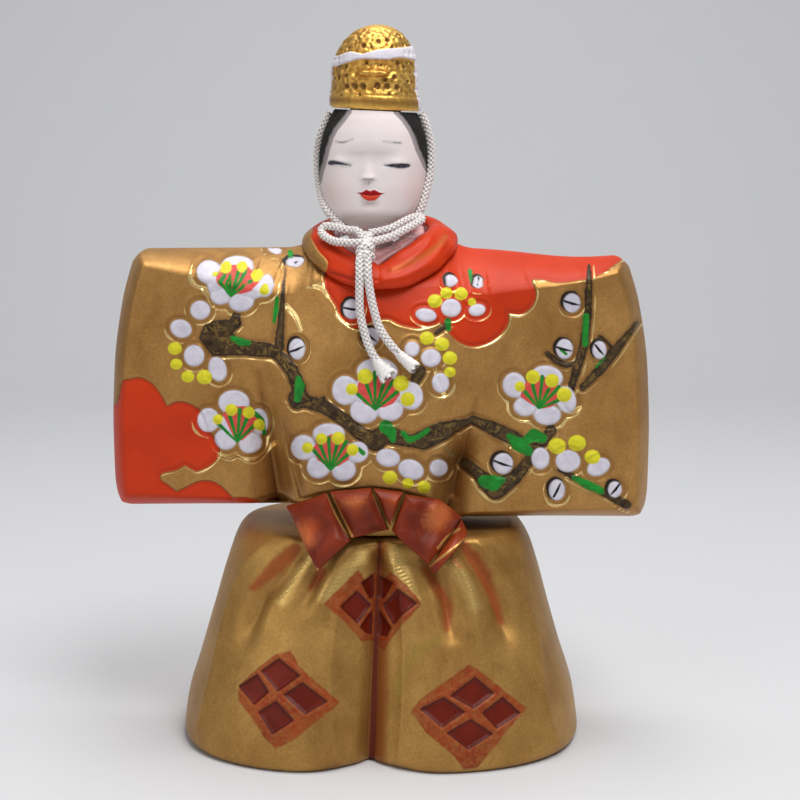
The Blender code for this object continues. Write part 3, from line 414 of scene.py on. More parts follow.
def use_group(tree, group, **values):
    node = tree.nodes.new("ShaderNodeGroup")
    node.node_tree = group
    for name, value in values.items():
        feed(tree, node.inputs[name.replace("_", " ")], value)
    return node.outputs


# %% The painted edge, the mottle and the gold powder
def painted_edge_group():
    """Cuts a kept distance at zero, with the small waver and soft rim of a brush."""
    group, given, result = new_group(
        "painted edge", {"Distance": 0.0, "Softness": 1.2, "Waver": 0.8, "Waver Scale": 900.0}, ["Mask"])
    wobble = maths(group, "SUBTRACT", noise(group, given["Waver Scale"], 2.0), 0.5)
    moved = maths(group, "MULTIPLY_ADD", wobble, given["Waver"], given["Distance"])
    rim = maths(group, "DIVIDE", moved, given["Softness"])
    feed(group, result["Mask"], maths(group, "SUBTRACT", 0.5, rim, clamp=True))
    return group


def mottle_group():
    """Lays a colour on unevenly: broad clouds of a second colour and a fine grain."""
    group, given, result = new_group(
        "hand-laid colour",
        {"Colour": None, "Second Colour": None, "Broad Scale": 90.0, "Amount": 0.6, "Grain": 0.25},
        ["Colour", "Height"])
    broad = noise(group, given["Broad Scale"], 5.0, 0.62)
    clouds = maths(group, "MULTIPLY_ADD", broad, 2.6, -0.8, clamp=True)
    share = maths(group, "MULTIPLY", clouds, given["Amount"])
    fine = noise(group, 2600.0, 3.0, 0.7)
    grain = maths(group, "MULTIPLY_ADD", maths(group, "SUBTRACT", fine, 0.5), given["Grain"], 1.0)
    mixed = blend_colour(group, share, given["Colour"], given["Second Colour"])
    shade = add_node(group, "ShaderNodeVectorMath", "SCALE", _0=mixed, Scale=grain)
    feed(group, result["Colour"], shade.outputs[0])
    feed(group, result["Height"], fine)
    return group


def gold_powder_group():
    """Gold powder brushed over clay: streaks, thin places that show the ground, and glints."""
    group, given, result = new_group(
        "gold powder", {"Bright": None, "Deep": None, "Ground": None, "Streak Scale": 240.0},
        ["Colour", "Roughness", "Height"])
    spot = object_places(group)
    stretched = add_node(group, "ShaderNodeMapping", Vector=spot, Scale=(1.0, 1.0, 0.6),
                         Rotation=(0.0, 0.5, 0.0))
    streaks = noise(group, given["Streak Scale"], 5.0, 0.6, 0.6, stretched.outputs[0])
    broad = noise(group, 55.0, 3.0, 0.55, 0.0, spot)
    fine = noise(group, 3200.0, 2.0, 0.7, 0.0, spot)
    both = maths(group, "MULTIPLY_ADD", streaks, 0.6, broad)
    share = maths(group, "MULTIPLY_ADD", both, 1.5, -0.65, clamp=True)
    body = blend_colour(group, share, given["Deep"], given["Bright"])
    thin = maths(group, "MULTIPLY_ADD", noise(group, 420.0, 4.0, 0.7, 0.0, spot), 5.0, -3.15, clamp=True)
    bare = blend_colour(group, maths(group, "MULTIPLY", thin, 0.55), body, given["Ground"])
    glints = maths(group, "SUBTRACT", noise(group, 1500.0, 3.0, 0.75, 0.0, spot), 0.5)
    sparkle = add_node(group, "ShaderNodeVectorMath", "SCALE", _0=bare,
                       Scale=maths(group, "MULTIPLY_ADD", glints, 0.75, 1.0))
    feed(group, result["Colour"], sparkle.outputs[0])
    rough = maths(group, "MULTIPLY_ADD", streaks, 0.16, 0.27)
    feed(group, result["Roughness"], maths(group, "MULTIPLY_ADD", fine, 0.20, rough))
    height = maths(group, "MULTIPLY", streaks, 0.8)
    feed(group, result["Height"], maths(group, "MULTIPLY_ADD", fine, 0.9, height))
    return group


PAINTED_EDGE = painted_edge_group()
HAND_LAID = mottle_group()
GOLD_POWDER = gold_powder_group()
print("node groups:", [g.name for g in bpy.data.node_groups])

# %% [markdown]
# ## Building a painted finish
# A finish starts from a ground, which is gold powder or a matte colour, and lays masks over it.
# Each mask comes from a distance layer of the mesh, so the same few lines build every finish.

# %% A painter for layered finishes
class Painter:
    """Lays colours over a ground in one material. Each coat also says how rough and metallic it is."""

    def __init__(self, name, specular=0.32):
        self.finish = bpy.data.materials.new(name)
        self.finish.use_nodes = True
        self.tree = self.finish.node_tree
        self.shader = self.tree.nodes["Principled BSDF"]
        self.shader.inputs["Specular IOR Level"].default_value = specular

    def layer(self, name):
        node = self.tree.nodes.new("ShaderNodeAttribute")
        node.attribute_name = name
        return node.outputs["Fac"]

    def ground(self, colour, height, rough, metal=0.0):
        self.colour, self.height, self.rough, self.metal = colour, height, rough, metal

    def gold(self, bright, deep, clay, streaks=240.0, metal=0.62):
        made = use_group(self.tree, GOLD_POWDER, Bright=linear(bright), Deep=linear(deep),
                         Ground=linear(clay), Streak_Scale=streaks)
        self.ground(made["Colour"], made["Height"], made["Roughness"], metal)

    def mottle(self, colour, second, amount, grain, broad):
        return use_group(self.tree, HAND_LAID, Colour=linear(colour), Second_Colour=linear(second),
                         Amount=amount, Grain=grain, Broad_Scale=broad)

    def matte(self, colour, second, amount, grain, broad, rough):
        made = self.mottle(colour, second, amount, grain, broad)
        self.ground(made["Colour"], made["Height"], rough)

    def edge(self, layer, softness, waver, waver_scale=900.0):
        distance = self.layer(layer) if isinstance(layer, str) else layer
        return use_group(self.tree, PAINTED_EDGE, Distance=distance, Softness=softness, Waver=waver,
                         Waver_Scale=waver_scale)["Mask"]

    def band(self, layer, at, half):
        """1 where the layer's distance is near a value, fading to both sides."""
        off = maths(self.tree, "ABSOLUTE", maths(self.tree, "SUBTRACT", self.layer(layer), at))
        return maths(self.tree, "SUBTRACT", 1.0, maths(self.tree, "DIVIDE", off, half), clamp=True)

    def times(self, mask, factor):
        return maths(self.tree, "MULTIPLY", mask, factor)

    def coat(self, where, colour, second=None, rough=0.5, metal=0.0, amount=0.6, grain=0.2, broad=160.0,
             share=None):
        """One more colour. where is a mask, or what edge() needs to make one; share thins the coat."""
        mask = self.edge(*where) if isinstance(where, tuple) else where
        mask = self.times(mask, share) if share else mask
        made = self.mottle(colour, second or colour, amount, grain, broad)
        self.colour = blend_colour(self.tree, mask, self.colour, made["Colour"])
        self.rough = self.between(mask, self.rough, rough)
        self.metal = self.between(mask, self.metal, metal)

    def between(self, mask, under, over):
        return add_node(self.tree, "ShaderNodeMapRange", Value=mask, To_Min=under, To_Max=over).outputs[0]

    def done(self, bump_strength=0.22, bump_distance=0.00012):
        raised = add_node(self.tree, "ShaderNodeBump", Strength=bump_strength, Distance=bump_distance,
                          Height=self.height)
        wanted = {"Base Color": self.colour, "Roughness": self.rough, "Metallic": self.metal,
                  "Normal": raised.outputs[0]}
        for name, value in wanted.items():
            feed(self.tree, self.shader.inputs[name], value)
        return self.finish


print("painter ready")

# %% [markdown]
# ## The robe's shape
# Chest, back and sleeves are one smooth skin on the real doll, because the luted seams are
# rubbed away before painting. So one grid covers all three, and it is split along the seams at
# the end. The rules for the depth are those of the CAD source, only on a grid of a third of a
# millimetre, which is fine enough for the incised lines.

# %% Sizes of the robe, as in the source
JOINT_GAP = 0.0003
HAKAMA_HEIGHT = 0.0511
ROBE_FOOT = HAKAMA_HEIGHT + JOINT_GAP
SHOULDER_HEIGHT = 0.1168
ROBE_RISE = SHOULDER_HEIGHT - ROBE_FOOT
SLEEVE_REACH = 0.0645
SLEEVE_RISES = {-1: 0.0034, 1: 0.0004}
CORNER_RADIUS = 0.0034
SLEEVE_BEVEL, SLEEVE_FOOT_BEVEL, SLEEVE_TOP_BEVEL, SHOULDER_BEVEL = 0.0040, 0.0046, 0.0026, 0.0095
SLEEVE_EDGE_SHARES = ((0.0, 0.982), (0.12, 0.998), (0.30, 1.0), (0.55, 0.990), (0.80, 0.955), (1.0, 0.900))
SLEEVE_FRONT, SLEEVE_BACK = (0.0165, 0.0125), (0.0095, 0.0060)
CHEST_FRONT, CHEST_BACK, CHEST_HALF_WIDTH = 0.0252, 0.0200, 0.0335
CHEST_SQUARENESS, BLEND_POWER = 2.3, 7.0
CHEST_SHARES = (
    (0.0, 0.93, 0.98, 0.8), (0.15, 0.975, 1.0, 0.84), (0.35, 1.0, 0.99, 0.93), (0.55, 0.97, 0.93, 1.0),
    (0.72, 0.87, 0.86, 0.99), (0.85, 0.74, 0.76, 0.9), (0.94, 0.61, 0.66, 0.76), (1.0, 0.5, 0.56, 0.64),
)
SEAM_HALF_WIDTH = 0.0262
SEAM_SHARES = ((0.00, 0.660), (0.50, 1.000), (0.80, 0.980), (1.00, 0.860))
NECK_RISE, NECK_STUMP, NECK_HALF_WIDTH, NECK_FLAT_SHARE = 0.0045, 0.0022, 0.0140, 0.6
HEAD_X, HEAD_Y = -0.0028, 0.0005


def seam_x(z):
    up = np.clip((z - ROBE_FOOT) / ROBE_RISE, 0, 1)
    return SEAM_HALF_WIDTH * np.interp(up, [s[0] for s in SEAM_SHARES], [s[1] for s in SEAM_SHARES])


def robe_depth(x, z, column, chest, sleeve):
    """Depth of the robe's front or back: the chest's swell blended into the sleeve."""
    s, up = np.abs(x), (z - ROBE_FOOT) / ROBE_RISE
    half = CHEST_HALF_WIDTH * table_value(CHEST_SHARES, up, 3)
    swell = np.maximum(1 - (s / half) ** CHEST_SQUARENESS, 0) ** (1 / CHEST_SQUARENESS)
    body = chest * table_value(CHEST_SHARES, up, column) * swell
    out = np.clip((s - SEAM_HALF_WIDTH) / (SLEEVE_REACH - SEAM_HALF_WIDTH), 0, 1)
    arm = mix(sleeve[0], sleeve[1], out) * fade(s / SEAM_HALF_WIDTH)
    return (body**BLEND_POWER + arm**BLEND_POWER) ** (1 / BLEND_POWER)


# %% Rows and columns of the robe
POINT_SPACING = 0.00032
BEVEL_STEPS = 9
FOOT_BLEND = 0.006
SHOULDER_SAG, SAG_X, SAG_WIDTH = 0.0021, 0.047, 0.017


def bevel_profile(gap, width):
    t = np.clip(gap / np.maximum(width, 1e-9), 0, 1)
    return (1 - (1 - t) ** 1.35) ** (1 / 1.35)


def spread(low_bevel, high_bevel, reach, count):
    """Places from 0 to reach, crowded within a bevel at each end. The bevels may be arrays."""
    near = (np.arange(BEVEL_STEPS) / BEVEL_STEPS) ** 1.7
    low = near[:, None] * low_bevel
    high = reach - near[::-1, None] * high_bevel
    middle = mix(low_bevel, reach - high_bevel, (np.arange(count) / (count - 1))[:, None])
    return np.concatenate((low, middle, high), axis=0)


def robe_columns():
    """Place of each column: -1 to 1 across the body, then on to 2 at a sleeve's outer edge."""
    body = np.linspace(0, 1, round(SEAM_HALF_WIDTH / POINT_SPACING))
    reach = SLEEVE_REACH - SEAM_HALF_WIDTH
    out = spread(np.zeros(1), np.array([SLEEVE_BEVEL]), reach, round(reach / POINT_SPACING))[BEVEL_STEPS:, 0]
    right = np.concatenate((body, 1 + out[1:] / reach))
    return np.concatenate((-right[:0:-1], right))


def robe_grid():
    columns = robe_columns()
    side = np.where(columns < 0, -1, 1)
    share = np.abs(columns)
    out = np.clip(share - 1, 0, 1)
    foot_seam = seam_x(ROBE_FOOT)
    inside = fade((foot_seam + FOOT_BLEND / 2 - np.minimum(share, 1) * foot_seam - out * 0.04) / FOOT_BLEND)
    rises = np.where(side < 0, SLEEVE_RISES[-1], SLEEVE_RISES[1]) * (1 - inside)
    foot = ROBE_FOOT + rises
    foot_bevel = mix(SLEEVE_BEVEL, SLEEVE_FOOT_BEVEL, out)
    top_bevel = mix(SHOULDER_BEVEL, SLEEVE_TOP_BEVEL, out)
    rise = SHOULDER_HEIGHT - foot
    rows = spread(foot_bevel, top_bevel, rise, round(ROBE_RISE / POINT_SPACING))
    outer = SLEEVE_REACH * table_value(SLEEVE_EDGE_SHARES, rows / rise)
    z = foot + rows
    inner = seam_x(z)
    x = np.where(share <= 1, share * inner, mix(inner, outer, out))
    out_gap = np.where(share <= 1, 1.0, outer - x)
    top_gap, foot_gap = rise - rows, rows
    end_gap = np.minimum(top_gap, foot_gap)
    end_profile = np.where(top_gap < foot_gap, bevel_profile(top_gap, top_bevel),
                           mix(bevel_profile(foot_gap, foot_bevel), 1.0, inside))
    height = np.minimum(end_profile, bevel_profile(out_gap, SLEEVE_BEVEL))
    near = (out_gap < CORNER_RADIUS) & (end_gap < CORNER_RADIUS)
    a, b = 1 - np.minimum(out_gap, CORNER_RADIUS) / CORNER_RADIUS, 1 - end_gap / CORNER_RADIUS
    round_out = CORNER_RADIUS * (1 - a * np.sqrt(1 - b * b / 2))
    round_end = CORNER_RADIUS * (1 - b * np.sqrt(1 - a * a / 2))
    x = np.where(near, outer - round_out, x)
    z = np.where(near, np.where(top_gap < foot_gap, SHOULDER_HEIGHT - round_end, foot + round_end), z)
    x = x * side
    middle = np.where(share > 1, mix(0.0, (SLEEVE_BACK[1] - SLEEVE_FRONT[1]) / 2, out), 0.0)
    front = mix(middle, -robe_depth(x, z, 1, CHEST_FRONT, SLEEVE_FRONT), height)
    back = mix(middle, robe_depth(x, z, 2, CHEST_BACK, SLEEVE_BACK), height)
    stump = NECK_RISE * fade(1 - (np.abs(x) - NECK_FLAT_SHARE * NECK_HALF_WIDTH) / NECK_HALF_WIDTH)
    sag = SHOULDER_SAG * bump(x - SAG_X, SAG_WIDTH) * fade((rows / rise - 0.55) / 0.45)
    z = z + np.minimum(stump, NECK_STUMP) * rows / rise - sag
    return np.stack((x, front, z), -1), np.stack((x, back, z), -1), columns


robe_front_grid, robe_back_grid, robe_column_shares = robe_grid()
print("robe grid:", robe_front_grid.shape[:2])

# %% [markdown]
# ## The painted plum branch and the red clouds
# The pattern is a traditional one: a plum branch in blossom, and clouds. Each brush stroke is a
# line, an oval or an outline in the photograph's grid. Strokes of one colour go into one layer.

# %% The red clouds: smooth curves that meet in corners
SHOULDER_RUNS = (
    (310, 236, 318, 250, 327, 261, 325, 272, 324.5, 283, 329, 295, 336, 306, 339, 316, 348, 325, 357, 329),
    (357, 329, 372, 321, 388, 319, 401, 325, 421, 328, 441, 322),
    (441, 322, 448, 331, 458, 341, 472, 346.5, 488, 343, 501, 334, 508, 323, 508, 313),
    (508, 313, 521, 314, 532, 306, 536, 292, 529, 278),
    (529, 278, 545, 280, 563, 282, 583, 279, 602, 273, 614, 264, 624, 258),
    (624, 258, 650, 235, 640, 190, 340, 190, 318, 215, 310, 236),
)
SLEEVE_RUNS = (
    (100, 403, 112, 404, 118, 402, 123, 382, 130, 379.5, 139, 378, 148, 381, 156, 388, 162, 397, 167,
     406.5),
    (167, 406.5, 177, 402, 188, 403.5, 198, 409, 204, 418, 208, 431),
    (208, 431, 215, 440, 219, 450, 217, 458, 209, 466, 197, 471, 190, 468, 185, 465),
    (185, 465, 176, 470, 162, 473.5, 160.5, 480, 168, 485, 176.5, 492),
    (176.5, 492, 187, 487, 198, 482, 209, 481, 219, 485, 227, 492, 233, 498),
    (233, 498, 245, 498, 256, 500.5, 267, 504.5, 282, 510, 284, 525, 90, 525, 90, 403, 100, 403),
)
CLOUDS = [np.vstack([smooth_run(run) for run in runs]) for runs in (SHOULDER_RUNS, SLEEVE_RUNS)]
print("spots round the clouds:", [len(cloud) for cloud in CLOUDS])

# %% The branches: (spots, widths at them), and one broad knee as an outline
BARK_KNEE = (
    234, 312, 241, 315, 241, 325, 233, 333, 237, 337.5, 250, 341, 265, 342, 277, 346, 284, 349, 277, 358,
    262, 357, 245, 355.5, 231, 355.5, 213, 356.5, 206, 348, 199, 338, 204, 325, 216, 320, 229, 319.5,
)
BRANCHES = (
    ((270, 350, 282, 358, 292, 371, 299, 388, 297, 402), (9, 12, 13, 14, 15)),
    ((296, 398, 312, 403, 327, 408, 345, 421, 361, 434, 376, 442), (16, 13, 14, 13, 14, 19)),
    ((372, 441, 387, 434, 396, 437, 410, 441, 424, 440, 443, 431, 471, 421), (18, 19, 16, 13, 20, 19, 5)),
    ((300, 392, 313, 406, 323, 398), (10, 9, 4)),
    ((473, 420, 492, 428, 511, 437, 528, 447, 536, 449), (8, 14, 15, 15, 9)),
    ((533, 449, 544, 441, 551, 430), (9, 10, 11)),
    ((538, 447, 529, 460, 515, 478, 496, 489, 486, 482, 479, 474, 465, 463), (8, 11, 13, 21, 17, 12, 11)),
    ((560, 470, 571, 476, 602, 492, 627, 505), (4, 6, 7, 9)),
    ((286, 262, 284, 280, 283, 292, 281, 322, 279, 347), (1, 2, 4, 7, 10)),
    ((589, 265, 589, 285, 588, 315, 584, 345, 577, 368, 571, 389), (3, 7, 8, 9, 9, 7)),
    ((637, 323, 626, 337, 614, 352, 600, 370, 583, 387), (4, 7, 10, 10, 7)),
    ((547, 353, 556, 361, 565, 365, 577, 364), (5, 6, 6, 5)), ((614, 350, 606, 341, 600, 336), (4, 3, 3)),
    ((436, 333, 448, 324), (4, 5)), ((416, 379, 420, 371), (11, 12)),
)
MOSS = (
    ((233, 338, 241, 341.5, 249, 343), (5, 8, 5)), ((277, 298, 276, 310, 274, 322), (4, 5, 3)),
    ((298, 378, 300, 386, 298, 399), (5, 10, 7)), ((386, 427, 391, 432, 393, 440), (14, 11, 6)),
    ((403, 433, 409, 440, 418, 437, 428, 430), (5, 6, 5, 4)), ((509, 436, 518, 444, 528, 451), (6, 14, 10)),
    ((525, 441, 534, 435, 542, 438), (8, 13, 10)), ((484, 481, 493, 483, 502, 480), (12, 16, 7)),
    ((574, 478, 588, 485, 601, 491), (5, 9, 7)), ((586, 316, 585, 344), (6, 6)),
    ((560, 349, 566, 354), (3, 3)), ((448, 321, 449, 329), (7, 5)), ((290, 252, 291, 256), (5, 6)),
    ((596, 367, 605, 358), (2, 2)), ((470, 271, 471, 283), (5, 3)),
    ((255, 413, 262, 420, 264, 434), (5, 6, 4)), ((359, 449, 363, 453), (4, 5)),
)
print("branches:", len(BRANCHES))

# %% The full blossoms: petals, the coral fan, its foot, the green tips, and pollen as x, y, size
BLOSSOMS = (
    (((208.5, 272, 24, 23, -10), (237.5, 266, 33, 20, 0), (215.5, 286, 16, 16, 0), (266, 286, 16, 22, 10),
     (220.2, 296, 20, 17, 10), (241.6, 302, 25, 19, -10), (251, 292, 24, 14, 0)), (214.6, 279.6, 220, 270,
     232, 266, 246, 266, 256, 275, 259, 282.7, 251.8, 290.8, 241.6, 293.9, 234.5, 293.9, 227.3, 290.8,
     219.2, 285.2), (231, 296.4), (215.6, 276, 222.2, 272, 229.6, 274, 238.6, 272, 246.7, 270.5, 251.3,
     280.6), ((214.8, 275.2, 5.5), (226, 268.4, 12), (242, 268, 11.5), (257, 275.8, 13), (264.6, 289.5,
     11))),
    (((208.6, 420, 22, 24, 0), (234, 402.5, 31, 25, 0), (259.5, 421, 18, 26, -5), (225.6, 439.5, 22, 20,
     20), (250.5, 443, 23, 20, -20), (237, 424, 34, 24, 0)), (222.6, 414, 230, 406, 247, 406, 257, 417,
     258.5, 425, 242, 440.6, 235.2, 439.5), (237.4, 442), (218.6, 423.6, 230.1, 415.9, 239.7, 409.5, 246.7,
     417.2, 254, 424.5), ((218, 419.2, 10), (231.4, 409.6, 12), (248.4, 412.2, 12), (258.8, 424.3, 12))),
    (((303.3, 447.3, 24, 25, 0), (328.8, 433.5, 32, 20, 0), (357.9, 452.1, 21, 21, 0), (318.5, 467, 23, 23,
     20), (343.9, 470.5, 24, 21, -15), (332, 452, 40, 26, 0)), (312.6, 449, 318, 440, 332, 434, 346, 440,
     351, 451.5, 348.2, 460, 338.5, 466, 326.4, 465.5, 317.9, 460), (330.6, 470), (314.2, 450.3, 320.3,
     444.2, 328.8, 438.2, 337.3, 444, 346, 442, 350, 452), ((308, 447.5, 11), (321.5, 438.6, 11.5), (338.2,
     438, 13), (352.6, 449.8, 12))),
    (((345, 390.3, 26, 29, 0), (377.3, 371.5, 41, 27, 0), (411, 395.8, 24, 28, -10), (363.9, 411.5, 28, 24,
     10), (390.6, 411, 25, 20, -10), (377, 392, 52, 30, 0)), (355.5, 393.3, 358.5, 382, 370, 376, 388, 376,
     399, 382, 400, 394.5, 394.2, 403, 384.5, 407.3, 374.8, 407.9, 365.2, 404.2), (375.3, 410), (357.9,
     394.5, 366.4, 383.6, 374.8, 372.5, 383.3, 384.8, 393, 381.2, 397, 392), ((351.8, 389.2, 12), (365.2,
     376.2, 15.5), (401, 383.4, 16), (407.6, 399.2, 14.5))),
    (((514, 384.8, 23, 25, 0), (547, 376.5, 32, 22, 10), (566.4, 399.5, 19, 27, -15), (524.3, 407, 22, 18,
     10), (547.3, 415, 27, 20, 0), (540, 394, 42, 26, 0)), (519.7, 396.3, 525, 383, 535, 376, 549, 377, 559,
     386, 560.4, 399.7, 551.8, 406.6, 542.7, 408.6, 531.2, 404.3), (538.6, 408.4), (524.9, 391.7, 532.3,
     384.2, 542.1, 376.7, 548.4, 389.4, 558.7, 387, 558.2, 400), ((519.5, 386.3, 10.5), (532.9, 376.7,
     13.8), (551.8, 380.4, 13.8), (564, 394.6, 15))),
)
HALF_BLOSSOM_PETALS = (
    (200.3, 310, 20, 19, 0), (181, 328.6, 22, 18, 20), (194.2, 355.6, 20.5, 21.5, 0),
    (217.7, 369, 18, 25, -15), (426, 315, 21, 13, 10), (451, 308, 20, 18, 0), (477, 310, 17, 12, -10),
    (412, 349, 15, 15, 0), (431, 358, 20, 18, 0), (440.6, 382.8, 17, 20, -10), (388, 458, 24, 18, 10),
    (411, 469.7, 26, 20, 20), (438.6, 467.8, 18, 17, 0), (540.4, 458.4, 18, 22, 0), (568, 461, 25, 22, 0),
    (598.6, 467, 24, 17, -25), (275, 250, 15, 7, 20),
)
HALF_BLOSSOM_POLLEN = (
    (175, 348.3, 13.4), (176.3, 364, 11.6), (188, 376.4, 12.4), (204.6, 377, 15), (435, 301, 14),
    (446.5, 293, 12), (461, 294, 13), (472, 302, 8), (427, 338, 14), (442, 344, 14), (450, 358, 14),
    (450, 372, 11), (390, 477.6, 14), (408, 483, 11), (424, 487, 13), (557, 446, 17), (577, 443, 17),
    (592.4, 456.8, 15),
)
# the turn of a bud is that of the dark line across it
BUDS = (
    (297.2, 349, 16, 21, -22), (295, 262, 21, 10, 18), (352, 309, 18, 20, 8), (371, 337, 17, 18, 40),
    (572, 303, 17, 19, 15), (564.5, 349, 17, 20, 14), (599.5, 350, 14, 18, 50), (503, 463.6, 20, 21, 18),
    (557, 490, 16, 21, -64), (615, 489.4, 14, 16, 130), (451, 281, 14, 12, 12), (478, 283, 12, 12, 100),
)
print("blossoms:", len(BLOSSOMS), "buds:", len(BUDS))


# %% The layers of the robe's paint
def melt(distances, width):
    """One outline round shapes that run into each other, without sharp nicks between them."""
    return -width * np.log(np.exp(-np.minimum(distances, 40) / width).sum(axis=0))


def bud_line(places, x, y, wide, high, turn):
    c, s = math.cos(math.radians(turn)) * wide * 0.48, math.sin(math.radians(turn)) * wide * 0.48
    return to_line(places, (x - c, y - s, x, y + 0.6, x + c, y + s), (2.2, 2.8, 1.2))


def blossom_layers(places):
    petals, merged, stamens, pollen = [], [], [], []
    for ovals, _, foot, tips, dots in BLOSSOMS:
        whole = np.array([to_oval(places, *oval) for oval in ovals])
        petals += list(whole)
        merged.append(melt(whole, 1.3))
        stamens += [to_line(places, (*foot, *tip), (1.8, 4.2)) for tip in as_spots(tips)]
        pollen.append(to_dots(places, dots))
    petals += [to_oval(places, *oval) for oval in HALF_BLOSSOM_PETALS]
    pollen.append(to_dots(places, HALF_BLOSSOM_POLLEN, 1.04, 0.95))
    ordered = np.sort(np.array(petals), axis=0)
    buds = to_ovals(places, [bud[:4] for bud in BUDS])
    return {"petal": nearest([ordered[0], buds, *merged]), "stamen": nearest(stamens), "pollen": nearest(pollen),
            "petal_seam": np.minimum((ordered[1] - ordered[0]) / 2, FAR) - 0.35}


def robe_layers(places):
    branches = [to_line(places, *branch) for branch in BRANCHES]
    rings = [(x - 1.5, y - 1.4, wide + 3.0, high + 2.7) for x, y, wide, high, _ in BUDS]
    return blossom_layers(places) | {
        "red": to_outlines(places, CLOUDS),
        "bark": nearest([to_outline(places, BARK_KNEE), *branches]),
        "bud_ring": to_ovals(places, rings),
        "moss": nearest(to_line(places, *dab) for dab in MOSS),
        "coral": to_outlines(places, [fan for _, fan, _, _, _ in BLOSSOMS]),
        "ink": nearest(bud_line(places, *bud) for bud in BUDS),
    }


# %% [markdown]
# ## Folds, the hem and the incised lines
# The mould gives the robe two deep folds beside the belly. Before firing, the maker cut a line
# round each blossom, branch and cloud, and a painted highlight marks its lip. The folds and
# lines move the grid itself. Below the hem the skin already belongs to the trousers.

# %% Folds: (spots, depth in metres, width in pixels)
FOLDS = (
    ((259, 372, 263, 400, 269, 440, 279, 512), 0.0078, 16), ((282, 405, 288, 440, 301, 500), 0.0016, 5),
    ((476, 398, 470, 425, 457, 470, 446, 512), 0.0078, 15), ((471, 440, 461, 470, 455, 500), 0.001, 4),
)
FOLD_LINES = (
    (262, 392, 268, 440, 279, 508), (284, 420, 291, 462, 300, 497), (474, 412, 464, 452, 448, 508),
)
HEM = (
    240, 508, 280, 511, 286, 506, 301, 498, 320, 493, 340, 490, 372, 487, 400, 490, 425, 497, 447, 505, 458,
    520, 480, 523,
)
INCISED = (
    (218.6, 456, 230, 459.4, 238.4, 456.8, 248, 462, 257, 461, 264.5, 454, 269.6, 446.6, 277, 441.5),
    (301, 286, 320, 288, 328, 297), (302, 269, 312, 270, 324, 269), (190, 277, 194, 285, 205, 289),
    (205, 289, 209, 298, 213, 306), (286, 305, 296, 318, 301, 330), (275, 344, 281, 360, 289, 372),
    (486, 430, 500, 436, 510, 447), (452, 427, 460, 437), (445, 447, 452, 455),
    (434, 365, 437, 376, 444, 395), (396, 349, 402, 357, 411, 360), (560, 402, 570, 412, 580, 408),
)


def fold_depth(places):
    depth = np.zeros(len(places))
    for spots, deep, wide in FOLDS:
        spots = smooth_run(spots)
        low, high = spots[0][1], spots[-1][1]
        down = fade((places[:, 1] - low + 8) / (0.75 * (high - low)))
        depth += deep * bump(to_line(places, spots), wide) * down
    return depth


print("folds:", len(FOLDS), "incised lines:", len(INCISED))


# %% Relief of the robe
def robe_relief(places, layers):
    """Height over the plain skin, in metres."""
    petal, bark, seam, red = (layers[name] for name in ("petal", "bark", "petal_seam", "red"))
    raised = 0.00020 * fade(-petal / 2.0) + 0.00012 * fade(-bark / 2.5)
    raised += 0.00034 * fade(-layers["pollen"] / 4.5)
    raised -= 0.00022 * bump(petal - 3.4, 1.7) * (petal > -2)
    raised += 0.00016 * bump(petal - 5.6, 1.4) * (petal > -2)
    raised -= 0.00022 * bump(bark - 1.4, 1.8) * (petal > 1)
    raised -= 0.00012 * bump(seam, 1.3) * (petal < -1) * (layers["coral"] > 1)
    raised -= 0.00016 * bump(red + 2.6, 1.2) + 0.00030 * bump(red + 0.4, 1.3)
    raised += 0.00016 * bump(red - 2.0, 1.8)
    raised -= 0.00028 * bump(layers["incised"], 1.3)
    return raised


def brushed(places, spots, start, end):
    """A smooth stroke that grows or narrows evenly along its run."""
    run = smooth_run(spots)
    return to_line(places, run, np.linspace(start, end, len(run)))


# %% Robe: folds first, then paint layers, then relief
def fold_robe(front, back, facing):
    front[..., 1] += fold_depth(photo_place(front).reshape(-1, 2)).reshape(front.shape[:2]) * facing
    behind = 0.004 * bump(np.abs(back[..., 0]) - seam_x(back[..., 2]), 0.005)
    down = fade(1.2 - (back[..., 2] - ROBE_FOOT) / (0.55 * ROBE_RISE))
    back[..., 1] -= behind * down * fade(back[..., 1] / 0.008)


def robe_skin():
    front, back = robe_front_grid.copy(), robe_back_grid.copy()
    shape = front.shape[:2]
    facing = fade((-front[..., 1] - 0.004) / 0.006)
    fold_robe(front, back, facing)
    places = photo_place(front).reshape(-1, 2)
    layers = robe_layers(places)
    layers["incised"] = to_strokes(places, INCISED)
    layers["fold_shade"] = nearest(brushed(places, spots, 1.0, 13.0) for spots, _, _ in FOLDS[::2])
    # painted shade: a thin dark line down the crease of each fold
    layers["fold_crease_shade"] = nearest(brushed(places, spots, 0.4, 2.0) for spots in FOLD_LINES)
    below = np.interp(places[:, 0], *as_spots(HEM).T) - places[:, 1]
    at_waist = (places[:, 0] > 240) & (places[:, 0] < 480) & (front[..., 1].ravel() < -0.008)
    layers["hem"] = np.where(at_waist, below, FAR)
    relief = robe_relief(places, layers) - 0.0006 * fade((1 - layers["hem"]) / 2.5)
    relief = relief.reshape(shape) + mould_waver(front, 0.00012, 3)
    front += grid_normals(front) * relief[..., None] * facing[..., None]
    back += grid_normals(back) * (mould_waver(back, 0.00012, 4)[..., None]) * fade(back[..., 1] / 0.004)[..., None]
    for name, values in layers.items():
        behind = values if name == "red" else np.full(len(values), FAR)
        layers[name] = np.vstack((values.reshape(shape), behind.reshape(shape)[::-1]))
    return np.vstack((front, back[::-1])), layers


robe_points, robe_paint = robe_skin()


# %% The well under the head, so that its neck stands in the robe
WELL_FLOOR, WELL_RADIUS, WELL_ROUNDING = 0.1143, 0.0070, 0.0012


